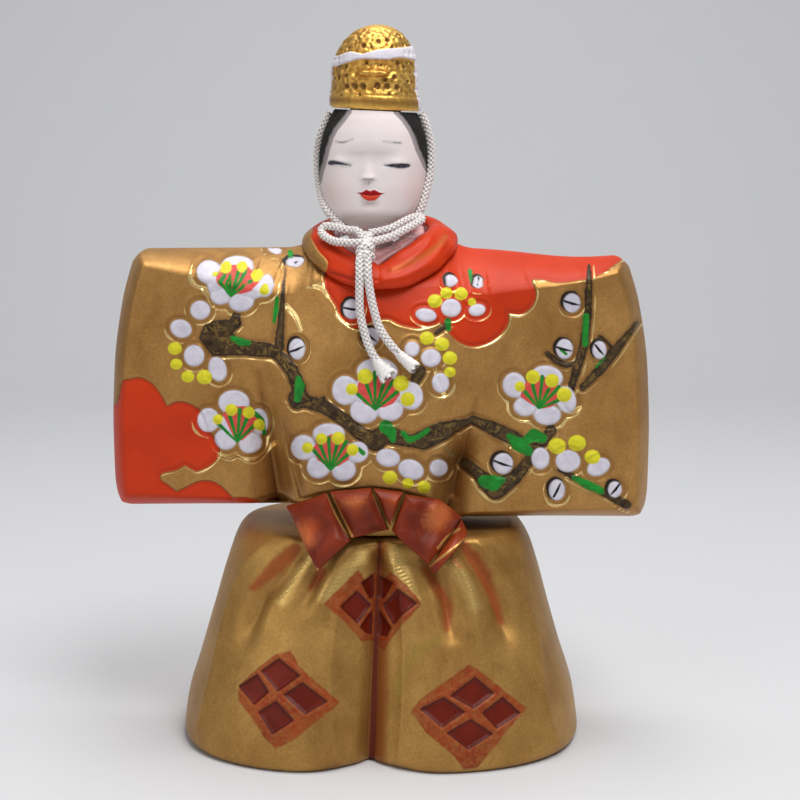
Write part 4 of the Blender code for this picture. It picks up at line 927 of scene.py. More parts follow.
def press_neck_well(points):
    off = np.hypot(points[..., 0] - HEAD_X, points[..., 1] - HEAD_Y)
    floor = mix(WELL_FLOOR, points[..., 2], fade((off - WELL_RADIUS) / WELL_ROUNDING))
    points[..., 2] = np.where(points[..., 2] > WELL_FLOOR, floor, points[..., 2])


press_neck_well(robe_points)
print("robe skin:", robe_points.shape[:2], "layers:", list(robe_paint))

# %% [markdown]
# ## The robe's finish
# The ground is gold powder. Over it lie the red, the dark brown of the bark, the white of the
# petals, coral and green stamens, yellow pollen and green moss, in the order in which the
# painter laid them. The cut lines get a painted highlight on their lip and painted shade down in
# the cut, and the folds and grooves get painted shade too.

# %% Colours that several finishes share, as they are seen, 0 to 255
ROBE_GOLD = (192, 146, 84), (152, 106, 52), (112, 68, 34)
TROUSER_GOLD = (188, 146, 80), (142, 100, 48), (112, 76, 36)
VERMILION = (206, 57, 9), (164, 33, 6), 0.46, 0.0, 0.55, 0.16, 60.0
BARK_BLACK = (36, 25, 16)
MOSS_GREEN = (34, 150, 46)
print("clay shows through the gold as", linear(ROBE_GOLD[2]))


# %% Lips and beds of the cut lines
def cut_line_layers(points, paint):
    """Where a cut line's lip gets a painted highlight, mostly on its lower side, and where painted shade lies down
    in the cut.
    """
    wave = mould_waver(points * 6.0, 1.0, 11)
    off = np.where(points[..., 1] < 0.0, 0.0, FAR)
    lips = []
    # lip: a painted highlight along each cut line's lip, mostly on its lower side
    for name, gap, half in (("petal", 5.5, 0.6), ("bark", 2.9, 0.40), ("red", 1.9, 0.70), ("incised", 1.3, 0.60)):
        below = fade(0.5 - np.gradient(paint[name], axis=0) / 1.2)
        lips.append(np.abs(paint[name] - gap) - half + 0.5 * wave + 1.5 * (1 - below) * (name != "incised"))
    paint["lip"] = nearest(lips) + off
    # painted shade down in the cuts round the petals and branches and in the incised lines
    cut_line_shades = bump(paint["petal"] - 3.2, 2.6), bump(paint["bark"] - 1.2, 1.8), bump(paint["incised"], 1.2)
    paint["cut_line_shade"] = np.maximum.reduce(cut_line_shades) * (off < 1)
    paint["bark_core"] = paint["bark"] + 1.6


cut_line_layers(robe_points, robe_paint)
print("layers now:", len(robe_paint))


# %% The robe's coats, in the painter's order
def robe_finish():
    paint = Painter("painted_robe", 0.22)
    paint.gold(*ROBE_GOLD)
    paint.coat(("hem", 2.5, 1.5), *TROUSER_GOLD[:2], 0.36, 0.78)
    # painted shade down in the cut lines
    paint.coat(paint.layer("cut_line_shade"), (104, 66, 30), metal=0.5, share=0.34)
    paint.coat(("fold_shade", 9.0, 3.0), (120, 74, 34), rough=0.45, metal=0.5, share=0.75)
    # painted shade: a thin dark line down the crease of each fold
    paint.coat(("fold_crease_shade", 1.6, 1.2), (82, 40, 16), metal=0.3, share=0.8)
    paint.coat(("red", 1.0, 0.9), *VERMILION)
    # painted shade in the groove inside the red's edge and along its cut edge
    paint.coat(paint.band("red", -2.6, 1.4), (110, 14, 6), rough=0.6, share=0.2)
    paint.coat(paint.band("red", 0.4, 1.2), (84, 36, 12), share=0.6)
    # painted highlight on the cut lines' lips, mostly on their lower side
    paint.coat(("lip", 0.8, 0.5), (255, 222, 150), rough=0.24, metal=0.85)
    paint.coat(("bark", 1.2, 3.4), (86, 66, 42), BARK_BLACK, 0.40, 0.2, 1.0, 0.9, 520.0)
    worn = maths(paint.tree, "MULTIPLY_ADD", noise(paint.tree, 430.0, 5.0, 0.75, 1.6), 6.0, -3.0, clamp=True)
    core = paint.times(worn, paint.edge("bark_core", 3.0, 3.0, 700.0))
    paint.coat(core, (158, 128, 66), rough=0.34, metal=0.6, share=0.8)
    paint.coat(paint.band("bark", -0.8, 1.8), BARK_BLACK, rough=0.45, share=0.6)
    paint.coat(("bud_ring", 1.0, 2.4, 500.0), BARK_BLACK)
    petal = paint.edge("petal", 1.0, 0.7)
    paint.coat(petal, (222, 218, 228), (188, 184, 196), 0.55, 0.0, 0.75, 0.08, 420.0)
    seam = paint.times(petal, paint.edge("petal_seam", 1.2, 0.6))
    paint.coat(seam, (150, 146, 160), rough=0.6, share=0.32)
    # painted shade round the edges of the petals
    paint.coat(paint.band("petal", -0.2, 1.3), (138, 126, 124), rough=0.6, share=0.35)
    paint.coat(("coral", 0.9, 0.8), (218, 84, 76), (186, 50, 48), 0.5, 0.0, 0.6, 0.1, 700.0)
    paint.coat(("stamen", 0.9, 0.6), (24, 112, 34), MOSS_GREEN, 0.5, 0.0, 0.7, 0.1, 600.0)
    paint.coat(("moss", 1.1, 1.2), MOSS_GREEN, (20, 92, 30), 0.45, 0.0, 0.8, 0.3, 420.0)
    paint.coat(("pollen", 1.0, 0.5), (222, 214, 44), (190, 180, 28), 0.5, 0.0, 0.5, 0.05, 500.0)
    paint.coat(("ink", 0.9, 0.5), (20, 18, 18), rough=0.4)
    return paint.done()


# %% Split the skin along the seams
NORMAL_LAYERS = "normal_x", "normal_y", "normal_z"


def robe_whole():
    shares = np.broadcast_to(robe_column_shares, robe_points.shape[:2])
    whole = grid_mesh("robe_skin", robe_points, robe_paint | {"share": shares}, True, False, 1e-6)
    normals = np.empty(len(whole.vertices) * 3, np.float32)
    whole.vertex_normals.foreach_get("vector", normals)
    keep_layers(whole, {name: normals[axis::3] for axis, name in enumerate(NORMAL_LAYERS)})
    return whole


def keep_normals(mesh):
    """Gives a cut piece the whole skin's normals, so that no seam shows. A cut wall stays plain."""
    normals = np.empty((len(NORMAL_LAYERS), len(mesh.vertices)), np.float32)
    for name, row in zip(NORMAL_LAYERS, normals):
        mesh.attributes[name].data.foreach_get("value", row)
    corners = np.empty(len(mesh.loops), np.int32)
    mesh.loops.foreach_get("vertex_index", corners)
    at_corners = normals.T[corners]
    for face in mesh.polygons:
        if face.loop_total > 4:
            at_corners[face.loop_start:face.loop_start + face.loop_total] = 0.0
    mesh.normals_split_custom_set(at_corners)
    for name in (*NORMAL_LAYERS, "share"):
        mesh.attributes.remove(mesh.attributes[name])


def robe_part(whole, name, low, high):
    """One piece of the skin: the faces between two column shares, with a wall where it is cut off."""
    skin = bmesh.new()
    skin.from_mesh(whole)
    share = skin.verts.layers.float["share"]
    away = [f for f in skin.faces if not low < sum(v[share] for v in f.verts) / len(f.verts) < high]
    bmesh.ops.delete(skin, geom=away, context="FACES")
    rim = [e for e in skin.edges if len(e.link_faces) == 1]
    bmesh.ops.holes_fill(skin, edges=rim, sides=0)
    mesh = bpy.data.meshes.new(name)
    skin.to_mesh(mesh)
    skin.free()
    mesh.shade_smooth()
    keep_normals(mesh)
    return mesh


def make_robe():
    whole, finish = robe_whole(), robe_finish()
    for name, node, low, high in (("body", "robe_body", -1.0, 1.0), ("right_sleeve", "right_sleeve", -3.0, -1.0),
                                  ("left_sleeve", "left_sleeve", 1.0, 3.0)):
        name = "robe_skin_" + name
        place_piece(name, robe_part(whole, name, low, high), finish, "body", "robe_gold", node)
    bpy.data.meshes.remove(whole)


make_robe()

# %% [markdown]
# ## The trousers
# A hollow bell that stands on its rim, with a crease between the two legs. The outside is again
# a fine grid by the source's rule. The pleats, the ridges of the stiff cloth and the sunken
# lozenges of the four-diamond crest, a common pattern, are pressed into it.

# %% Sizes of the trousers, as in the source
HAKAMA_HALF_WIDTH, HAKAMA_HALF_DEPTH, HAKAMA_WALL, HAKAMA_SQUARENESS = 0.0482, 0.0418, 0.0048, 2.75
HAKAMA_EDGE_ROUNDING = 0.0040
HAKAMA_SHARES = (
    (0.0, 1.0, 1.0, 0.982), (0.18, 0.975, 0.965, 0.925), (0.4, 0.905, 0.885, 0.825),
    (0.62, 0.835, 0.79, 0.725), (0.8, 0.78, 0.71, 0.66), (0.92, 0.735, 0.655, 0.615),
    (0.98, 0.69, 0.62, 0.575), (1.0, 0.62, 0.58, 0.525),
)
CREASE_X, CREASE_TOP_SHARE = (-0.0025, 0.0002), 0.32
CREASE_BROAD, CREASE_NARROW = (0.0074, 0.0095), (0.0026, 0.0022)
BACK_FOLD_SHARES, BACK_FOLD_DEPTH, BACK_FOLD_WIDTH, BACK_FOLD_TOP_SHARE = (0.16, 0.46, 0.76), 0.0016, 0.0030, 0.55
RELIEF_TOP_SHARE = 0.12
NECK_OUTER, NECK_BORE, NECK_RING_RISE = (0.0132, 0.0125), (0.0097, 0.0090), 0.0050


def hakama_sizes(z, inset):
    width, front, back = (table_value(HAKAMA_SHARES, z / HAKAMA_HEIGHT, k) for k in (1, 2, 3))
    return HAKAMA_HALF_WIDTH * width - inset, HAKAMA_HALF_DEPTH * front - inset, HAKAMA_HALF_DEPTH * back - inset


def bell(across):
    return (1 - across**HAKAMA_SQUARENESS) ** (1 / HAKAMA_SQUARENESS)


def hakama_front(x, z, inset=0.0, spare=0.0):
    """How far forward the trousers come, with the crease between the legs."""
    width, front, _ = hakama_sizes(z, inset)
    up = z / HAKAMA_HEIGHT
    across = np.minimum(np.abs(x) / width, 1)
    off = np.maximum(np.abs(x - mix(*CREASE_X, up)) - spare, 0)
    fold = CREASE_BROAD[0] * mix(1, CREASE_TOP_SHARE, up) * bump(off, CREASE_BROAD[1])
    fold += CREASE_NARROW[0] * bump(off, CREASE_NARROW[1])
    fold *= fade((1 - up) / RELIEF_TOP_SHARE)
    return fold * (1 - across**4) - front * bell(across)


def hakama_back(x, z, inset=0.0, folded=True):
    """How far the trousers reach behind, with three folds at each side of the middle."""
    width, _, back = hakama_sizes(z, inset)
    up = z / HAKAMA_HEIGHT
    depth = folded * BACK_FOLD_DEPTH * mix(1, BACK_FOLD_TOP_SHARE, up) * fade((1 - up) / RELIEF_TOP_SHARE)
    folds = sum(bump(np.abs(x) - share * width, BACK_FOLD_WIDTH) for share in BACK_FOLD_SHARES)
    return back * bell(np.minimum(np.abs(x) / width, 1)) - depth * folds


print("the trousers reach from", round(float(hakama_front(0.02, 0.0)), 4), "to", round(float(hakama_back(0.02, 0.0)), 4))


# %% Rings of the trousers
HOLLOW_LEVELS = 0.90, 0.85, 0.70, 0.50, 0.30, 0.12, 0.0
HOLLOW_SPARE = 0.0038


def hakama_ring(z, shares, inset=0.0, spare=0.0, folded=True):
    """One level, from the doll's right round the front and back again behind."""
    width = hakama_sizes(z, inset)[0]
    x = shares * width + mix(*CREASE_X, z / HAKAMA_HEIGHT) * (1 - np.abs(shares))
    back_x = shares[::-1] * width
    ring_x = np.concatenate((x, back_x[1:-1]))
    ring_y = np.concatenate((hakama_front(x, z, inset, spare), hakama_back(back_x, z, inset, folded)[1:-1]))
    return np.stack((ring_x, ring_y, np.full(len(ring_x), z)), -1)


def oval_like(ring, size, z):
    turn = np.arctan2(ring[:, 1] / size[1], ring[:, 0] / size[0])
    return np.stack((size[0] * np.cos(turn), size[1] * np.sin(turn), np.full(len(turn), z)), -1)


def even_shares(count):
    """Places across a quarter of the ring, evenly along its curve."""
    turn, power = np.linspace(math.pi / 2, 0, 4000), 2 / HAKAMA_SQUARENESS
    x, y = HAKAMA_HALF_WIDTH * np.cos(turn) ** power, HAKAMA_HALF_DEPTH * np.sin(turn) ** power
    run = lengths_along(x, y)
    return np.interp(np.linspace(0, run[-1], count), run, x) / HAKAMA_HALF_WIDTH


def hakama_grid():
    """Rings up the outside, over the neck, and down inside the hollow."""
    half = even_shares(190)
    shares = np.concatenate((-half[:0:-1], half))
    rim, inset = HAKAMA_EDGE_ROUNDING * 0.62, HAKAMA_EDGE_ROUNDING * 0.55
    rings = [hakama_ring(rim * (1 - math.cos(turn)), shares, inset * (1 - math.sin(turn)))
             for turn in np.linspace(0, math.pi / 2, 12)]
    rings += [hakama_ring(z, shares) for z in np.arange(rim + POINT_SPACING, HAKAMA_HEIGHT, POINT_SPACING)]
    outside, top = len(rings), rings[-1]
    neck = oval_like(top, NECK_OUTER, HAKAMA_HEIGHT)
    rings += [mix(top, neck, share) for share in np.linspace(0.1, 1.0, 12)]
    roof, ring_top = HAKAMA_HEIGHT - HAKAMA_WALL, HAKAMA_HEIGHT + NECK_RING_RISE
    rings += [oval_like(top, NECK_OUTER, ring_top), oval_like(top, NECK_BORE, ring_top), oval_like(top, NECK_BORE, roof)]
    rings += [hakama_ring(z, shares, HAKAMA_WALL, HOLLOW_SPARE, False) for z in roof * np.array(HOLLOW_LEVELS)]
    return np.array(rings), outside


hakama_points, hakama_outside = hakama_grid()
print("trousers grid:", hakama_points.shape[:2])

# %% Crests and fold strokes; a pleat is spots, depth and width, and a crumple highlight a place of crumpled gold painted with a highlight
LOZENGES = (
    (261, 671, 278.5, 659, 299.6, 675.6, 277.6, 691), (238.4, 686, 256.5, 674.6, 268, 692, 253.7, 704),
    (284, 694.7, 302.4, 683, 326.4, 701.4, 305, 714), (258.4, 712, 275.7, 701.4, 293, 720.5, 272, 734),
    (451, 695.7, 475, 677.5, 494, 693, 474, 708), (420.7, 709, 443.7, 697.6, 464.7, 712, 441.7, 727),
    (483, 713, 503, 697.6, 520, 713, 497, 728), (447.5, 733, 471, 719.6, 492.5, 734, 468.5, 749),
    (340.7, 606.7, 357, 591.4, 371, 605, 358, 623), (383.4, 604.8, 399.7, 589.5, 416.9, 603, 394, 624),
    (362, 583, 373, 575, 374, 596, 371, 598), (380, 576, 394, 583, 383, 598, 379, 596),
    (361, 627, 372, 612, 372, 634, 366, 632), (379, 612, 391, 628, 386, 636, 378, 634),
)
CREST_PATCHES = (
    (239, 685, 258, 668, 276, 654.5, 290, 651, 298.6, 666, 318, 684, 338.8, 702.4, 318, 720, 296, 738,
     275.7, 749, 264, 737, 252.7, 719.6, 237.4, 700),
    (411, 712, 421.7, 698.5, 446, 681, 469.5, 665, 479, 670, 503, 690, 526.9, 708, 508, 730, 492, 750, 477,
     767.4, 463.7, 769, 454, 756, 427.4, 733),
    (323.5, 604, 340, 588, 358, 570, 366, 583, 374, 572, 384, 580, 394, 573, 408, 586, 421.7, 603, 408, 622,
     395, 634, 384, 650, 373, 640, 362, 641, 345, 622),
)
FOLD_STROKES = (
    ((294, 547, 275, 566, 252, 588), (10, 14, 6)), ((322, 572, 316, 580, 309, 588), (10, 9, 5)),
    ((463, 543, 475, 557, 486, 574, 497, 598, 506, 622), (8, 13, 13, 11, 5)),
    ((424, 568, 436, 586, 446.5, 605, 447, 628), (7, 11, 12, 6)), ((449, 554, 459, 568), (6, 4)),
)
PLEATS = (
    ((300, 546, 282, 572, 258, 606, 240, 650), 0.0022, 10), ((324, 562, 314, 584, 300, 612), 0.0016, 7),
    ((430, 556, 444, 590, 452, 640), 0.0019, 8), ((463, 543, 482, 568, 497, 596, 510, 650), 0.0022, 10),
    ((290, 556, 272, 584, 258, 640), -0.0008, 8), ((344, 552, 330, 580, 314, 620), -0.0011, 9),
    ((392, 550, 404, 600, 408, 650), -0.001, 9), ((452, 556, 470, 592, 480, 650), -0.001, 8),
)
RIDGES = (
    (475, 538, 508, 584, 529, 609, 538, 653, 544, 700, 556, 743),
    (281, 532, 247, 563, 228, 606, 218, 643, 208, 690, 200, 725), (352, 560, 336, 620, 330, 680, 334, 758),
    (396, 560, 404, 620, 404, 690, 400, 764),
)
OLIVE_STROKE = (437, 640, 418, 652, 402, 676, 399, 696)
CRUMPLE_HIGHLIGHT_STROKES = (
    ((362, 556, 345, 574, 326, 596), 13), ((394, 554, 404, 576, 412, 600), 12),
    ((308, 560, 292, 580, 282, 600), 9), ((450, 560, 464, 580, 474, 606), 10),
)


def fold_stroke(places, spots, widths):
    run = smooth_run(spots)
    share = np.linspace(0, 1, len(run))
    return to_line(places, run, np.interp(share, np.linspace(0, 1, len(widths)), widths))


def pleat_valley_shade(places, spots, wide):
    spots = smooth_run(spots)
    return bump(to_line(places, spots), wide * 0.9) * fade((spots[-1][1] + 10 - places[:, 1]) / 40)


def hakama_layers(places):
    # painted shade along the pleats' valleys
    pleat_valley_shades = [pleat_valley_shade(places, spots, wide) for spots, deep, wide in PLEATS if deep > 0]
    return {
        "lozenge": to_outlines(places, LOZENGES),
        "patch": to_outlines(places, CREST_PATCHES),
        "stroke": nearest(fold_stroke(places, *stroke) for stroke in FOLD_STROKES),
        "crease": to_line(places, (380, 538, 376, 640, 371, 775), (3.0, 4.4, 6.0)),
        "crease_shade": to_line(places, (383, 538, 380, 640, 377, 775), (10, 15, 17)),
        "olive": to_line(places, smooth_run(OLIVE_STROKE), 9),
        "crumple_highlight": nearest(to_line(places, smooth_run(spots), wide) for spots, wide in CRUMPLE_HIGHLIGHT_STROKES),
        "pleat_valley_shade": 6 - 6 * np.maximum.reduce(pleat_valley_shades),
    }


# %% Relief of the trousers
def pleat(places, spots, deep, wide):
    spots = smooth_run(spots)
    down = fade((places[:, 1] - spots[0][1] + 12) / 26) * fade((spots[-1][1] + 14 - places[:, 1]) / 50)
    return deep * bump(to_line(places, spots), wide) * down


def hakama_relief(places, layers):
    lozenge = layers["lozenge"]
    raised = -0.00055 * fade(-lozenge / 1.6) - 0.00016 * bump(lozenge - 0.5, 1.1)
    raised += 0.00014 * bump(lozenge - 3.0, 1.8)
    for row in PLEATS:
        raised -= pleat(places, *row)
    for spots in RIDGES:
        gap = to_line(places, smooth_run(spots))
        raised += 0.00080 * np.exp(-gap / 9.0) * fade((places[:, 1] - 525) / 40)
    raised -= 0.00035 * bump(layers["crease"], 1.6)
    crumple = np.sin(places @ (0.9, 0.5)) * np.sin(places @ (-0.5, 1.1) + 1)
    crumple += 0.6 * np.sin(places @ (1.7, -1.3)) * np.sin(places @ (0.4, 1.9))
    raised += 0.00011 * crumple * fade((3 - layers["crumple_highlight"]) / 6) * (lozenge > 3)
    return raised


def hakama_skin():
    points = hakama_points.copy()
    skin = points[:hakama_outside]
    shape = skin.shape[:2]
    front = fade((-skin[..., 1] - 0.001) / 0.006)
    places = photo_place(skin).reshape(-1, 2)
    layers = hakama_layers(places)
    relief = hakama_relief(places, layers).reshape(shape) * front
    turn = np.arctan2(skin[..., 1], skin[..., 0])
    down = 1 - skin[..., 2] / HAKAMA_HEIGHT
    behind = (1 - front) * fade((HAKAMA_HEIGHT - skin[..., 2]) / 0.006)
    relief += behind * (0.00016 * np.sin(turn * 9 + 0.6) * (0.4 + 0.6 * down) + 0.00010 * np.sin(turn * 17 + 2.0))
    relief += mould_waver(skin, 0.00016, 5)
    steady = fade((skin[..., 2]) / 0.003)[..., None]
    skin += grid_normals(skin, wrap_columns=True) * relief[..., None] * steady
    unpainted = np.full((len(points) - hakama_outside, shape[1]), FAR)
    for name in layers:
        layers[name] = np.vstack((np.where(front > 0.02, layers[name].reshape(shape), FAR), unpainted))
    inside = np.arange(len(points)) >= hakama_outside + 12
    layers["inside"] = np.where(inside, -FAR, FAR)[:, None] * np.ones(shape[1])
    return points, layers


# %% The trousers' coats
def hakama_finish():
    paint = Painter("painted_trousers", 0.22)
    paint.gold(*TROUSER_GOLD, 190.0)
    paint.coat(("olive", 5.0, 3.0), (150, 140, 50), rough=0.45, metal=0.5, share=0.30)
    # painted shade in the pleats' valleys
    paint.coat(("pleat_valley_shade", 4.0, 1.5), (120, 76, 34), rough=0.45, metal=0.5, share=0.60)
    paint.coat(("crease_shade", 8.0, 3.0), (140, 70, 26), metal=0.3, share=0.75)
    # painted highlight on the crumpled gold
    paint.coat(("crumple_highlight", 9.0, 5.0), (240, 204, 124), rough=0.24, metal=0.85, share=0.6)
    paint.coat(("stroke", 4.0, 3.0, 600.0), (158, 74, 30), (126, 50, 18), 0.5, 0.1, 0.8, 0.3, share=0.82)
    thin = maths(paint.tree, "MULTIPLY_ADD", noise(paint.tree, 700.0, 4.0, 0.65, 1.0), 1.2, 0.25, clamp=True)
    patch = paint.times(paint.edge("patch", 1.6, 4.0, 420.0), thin)
    paint.coat(patch, (152, 60, 22), (122, 42, 14), 0.5, 0.1, 0.8, 0.25)
    paint.coat(paint.band("patch", 0.0, 1.2), (110, 46, 18), share=0.35)
    paint.coat(("lozenge", 1.2, 1.0), (112, 28, 8), (80, 16, 4), 0.42, 0.0, 0.8, 0.3)
    paint.coat(paint.band("lozenge", 0.0, 1.6), (70, 16, 10))
    # painted shade: a dark line down the crease between the legs
    paint.coat(("crease", 1.4, 0.9), (92, 32, 12))
    paint.coat(("inside", 1.0, 0.0), (196, 150, 116), (172, 124, 92), 0.85, 0.0, 0.8, 0.3)
    return paint.done()


trousers = grid_mesh("trousers", *hakama_skin(), wrap_rows=True)
place_piece("trousers", trousers, hakama_finish(), "body", "trouser_gold", "hakama")

# %% [markdown]
# ## Collars
# The round collar is a broad rolled band. It has a soft ridge and two creases, and the red
# cloud's edge runs across it. The collar below it shows as a glossy pink V.

# %% Collars' sizes, as in the source
COLLAR_X = -0.0003
COLLAR_INNER, COLLAR_OUTER = (0.0117, 0.0150, 0.0125), (0.0183, 0.0212, 0.0172)
INNER_RISES, OUTER_RISES = (-0.0036, 0.0044, 0.0072), (-0.0085, 0.0004, 0.0027)
V_POWER, FRONT_POWER = 0.9, 1.6
COLLAR_THICKNESS, COLLAR_UNDERSIDE = 0.0024, 0.0008
COLLAR_TOP_SHARES = ((0.0, 0.35), (0.16, 0.80), (0.48, 1.0), (0.80, 0.85), (1.0, 0.35))
NECK_RADIUS = 0.0062
UNDER_COLLAR_CLEARANCE, UNDER_COLLAR_THICKNESS, UNDER_COLLAR_TUCK = 0.0014, 0.0012, 0.0012
UNDER_COLLAR_RISES = (-0.0006, 0.0024)
# the red collar's inner edge runs lower on the doll's right
EDGE_DIP, EDGE_DIP_TURN, EDGE_DIP_WIDTH = 0.0017, math.radians(232), 0.42


def collar_edges(turn):
    """Inner and outer edge of the round collar round the neck. -90 degrees is the front."""
    c, s = np.cos(turn), np.sin(turn)
    front, behind = np.maximum(-s, 0), np.maximum(s, 0)
    low, side, high = INNER_RISES
    inner_rise = mix(mix(low, side, np.abs(c) ** V_POWER), mix(side, high, behind), s >= 0)
    inner_rise -= EDGE_DIP * bump(turn % (2 * math.pi) - EDGE_DIP_TURN, EDGE_DIP_WIDTH)
    low, side, high = OUTER_RISES
    outer_rise = mix(side, low, front**FRONT_POWER) + (high - side) * behind
    return [np.stack((COLLAR_X + wide * c, np.where(s < 0, before, after) * s, SHOULDER_HEIGHT + rise), -1)
            for (wide, before, after), rise in ((COLLAR_INNER, inner_rise), (COLLAR_OUTER, outer_rise))]


def under_collar_edges(turn):
    c, s = np.cos(turn), np.sin(turn)
    radius = NECK_RADIUS + UNDER_COLLAR_CLEARANCE
    rise = mix(UNDER_COLLAR_RISES[1], UNDER_COLLAR_RISES[0], np.maximum(-s, 0))
    inner = np.stack((HEAD_X + radius * c, HEAD_Y + radius * s, SHOULDER_HEIGHT + rise), -1)
    outer = collar_edges(turn)[0]
    off = inner - outer
    return inner, outer + off / np.linalg.norm(off, axis=-1, keepdims=True) * UNDER_COLLAR_TUCK


print("the round collar's front dips to", collar_edges(np.array([-math.pi / 2]))[1].round(4))


# %% A band round the neck
BAND_POINTS = 480
BAND_UNDERSIDE = ((0.96, 0.6), (0.86, 1), (0.62, 1), (0.38, 1), (0.14, 1), (0.04, 0.6))


def band_grid(edges, thickness, underside, across_count):
    """Rows go round the band's section, columns round the neck."""
    turn = np.linspace(0, 2 * math.pi, BAND_POINTS, endpoint=False)
    inner, outer = edges(turn)
    across = outer - inner
    width = np.linalg.norm(across, axis=-1, keepdims=True)
    across /= width
    along = np.stack((-np.sin(turn), np.cos(turn), np.zeros_like(turn)), -1)
    away = np.cross(along, across)
    away *= np.where(away[:, 2:] < 0, -1, 1)
    share = (1 - np.cos(np.linspace(0, math.pi, across_count))) / 2
    edge = np.minimum(share, 1 - share)
    edge_round = np.sqrt(np.clip(1 - (1 - edge / 0.06) ** 2, 0, 1)) ** 0.6
    edge_round = np.where(edge > 0.06, 1, edge_round)
    under, depths = np.array(BAND_UNDERSIDE).T
    shares = np.concatenate((share, under))
    top = table_value(COLLAR_TOP_SHARES, share) * thickness * edge_round
    heights = np.concatenate((top, -underside * depths))
    middle = (inner + outer) / 2
    return middle + across * (shares[:, None, None] - 0.5) * width + away * heights[:, None, None]


def press(points, relief):
    points += grid_normals(points, wrap_rows=True, wrap_columns=True) * relief[..., None]


# %% Round collar
COLLAR_RIDGES = (
    (446, 240, 438, 254, 424, 266, 404, 275, 384, 280), (434, 232, 424, 248, 408, 261, 392, 269),
)
COLLAR_CREASES = (
    (324, 285, 345, 288, 372, 291, 400, 290, 430, 281, 452, 268), (329, 273, 352, 279, 378, 280),
)
COLLAR_GILDING = (445, 237, 436, 247, 424, 256, 408, 264, 392, 270)


def collar_finish():
    paint = Painter("painted_collar", 0.22)
    paint.gold(*ROBE_GOLD)
    paint.coat(("red", 1.0, 0.9), *VERMILION)
    paint.coat(("gilding", 5.0, 4.0, 600.0), (176, 104, 48), rough=0.4, metal=0.4, share=0.6)
    # painted shade in the collar's creases
    paint.coat(("crease", 3.0, 0.5), (96, 18, 10), rough=0.6, share=0.5)
    return paint.done()


def make_round_collar():
    points = band_grid(collar_edges, COLLAR_THICKNESS, COLLAR_UNDERSIDE, 64)
    places = photo_place(points).reshape(-1, 2)
    front = fade((-points[..., 1] + 0.002) / 0.004)
    ridges, creases = to_strokes(places, COLLAR_RIDGES), to_strokes(places, COLLAR_CREASES)
    layers = {
        "red": to_outline(places, CLOUDS[0]),
        "gilding": to_line(places, smooth_run(COLLAR_GILDING), 4.5),
        # crease: where painted shade lies in the collar's creases, in front
        "crease": np.where(front.ravel() > 0.5, 6 - 6 * bump(creases, 2.6), FAR),
    }
    relief = 0.00035 * bump(ridges, 3.5) - 0.00032 * bump(creases, 1.8)
    relief -= 0.00025 * bump(layers["red"] + 0.6, 1.3)
    turn = np.arctan2(points[..., 1], points[..., 0])
    waves = 0.00012 * np.sin(turn * 7 + points[..., 2] * 900) + mould_waver(points, 0.0001, 8)
    relief = relief.reshape(points.shape[:2]) * front + waves
    press(points, np.where(points[..., 2] > 0.1, relief, 0) * 0.9)
    mesh = grid_mesh("rolled_collar", points, layers, wrap_rows=True)
    place_piece("rolled_collar", mesh, collar_finish(), "body", "collar_red", "round_collar")


make_round_collar()


# %% Pink collar
def pink_finish():
    """Pink paint under a clear glaze, mottled a little darker here and there."""
    paint = Painter("glazed_pink")
    paint.matte((250, 200, 198), (232, 160, 162), 0.5, 0.06, 260.0, 0.2)
    paint.shader.inputs["Coat Weight"].default_value = 0.6
    paint.shader.inputs["Coat Roughness"].default_value = 0.12
    return paint.done(0.10, 0.0001)


def make_under_collar():
    points = band_grid(under_collar_edges, UNDER_COLLAR_THICKNESS, UNDER_COLLAR_THICKNESS, 30)
    turn = np.arctan2(points[..., 1], points[..., 0])
    waves = 0.00022 * np.sin(turn * 9 + 1.0) * fade(-points[..., 1] / 0.004) + 0.0001 * np.sin(turn * 23)
    press(points, waves)
    mesh = grid_mesh("pink_collar", points, {}, wrap_rows=True)
    place_piece("pink_collar", mesh, pink_finish(), "body", "collar_pink", "under_collar")


make_under_collar()

# %% [markdown]
# ## The sash bow
# Five cushion-like pieces that overlap like folded cloth. Each is a slab whose back follows the
# waist. Thin gold lines run along the folds, and soft folds are pressed into the two loops.

# %% Bow
BOW_X, BOW_FOOT, BOW_WIDTH, BOW_RISE, BOW_SEAT_GAP = -0.0010, 0.0440, 0.0430, 0.0196, 0.0006
BOW_EDGE_SHARE = 0.45
# lower edge, upper edge and thickness
BOW_PIECES = {
    "sash_right_loop": (((-0.309, 0.05), (-0.137, 0.39)), ((-0.488, 0.71), (-0.265, 0.93)), 0.0034),
    "sash_knot": (((-0.135, 0.41), (0.068, 0.50)), ((-0.245, 0.94), (-0.027, 1.00)), 0.0042),
    "sash_fold": (((0.074, 0.53), (0.078, 0.53)), ((-0.012, 0.99), (0.143, 0.94)), 0.0034),
    "sash_left_loop": (((0.084, 0.49), (0.277, 0.11)), ((0.157, 0.92), (0.344, 0.84), (0.460, 0.60)), 0.0034),
    "sash_loop_mouth": (((0.309, 0.01), (0.491, 0.44)), ((0.280, 0.09), (0.458, 0.57)), 0.0034),
}
BOW_FOLDS = (
    (327, 528, 318, 542, 308, 556), (345, 508, 343, 520, 348, 534), (374, 506, 380, 518, 385, 527),
    (424, 510, 428, 525, 422, 545), (412, 520, 414, 536, 420, 552), (366, 508, 372, 520, 376, 531),
)
BOW_GILDING = (
    (328, 495, 337, 516, 349, 537), (332, 496, 341, 516, 352, 536), (374, 495, 380, 509, 388, 526),
    (404, 497, 397, 512, 390, 527), (286, 519, 292, 545, 302, 560, 318, 570),
    (438, 548, 447, 537, 459, 529), (429, 566, 448, 552, 467, 538), (351, 543, 364, 541, 378, 539),
)
BOW_GLINTS = ((437, 517, 30, 20, -48), (304, 535, 26, 12, 62), (354, 502, 20, 7, -8))
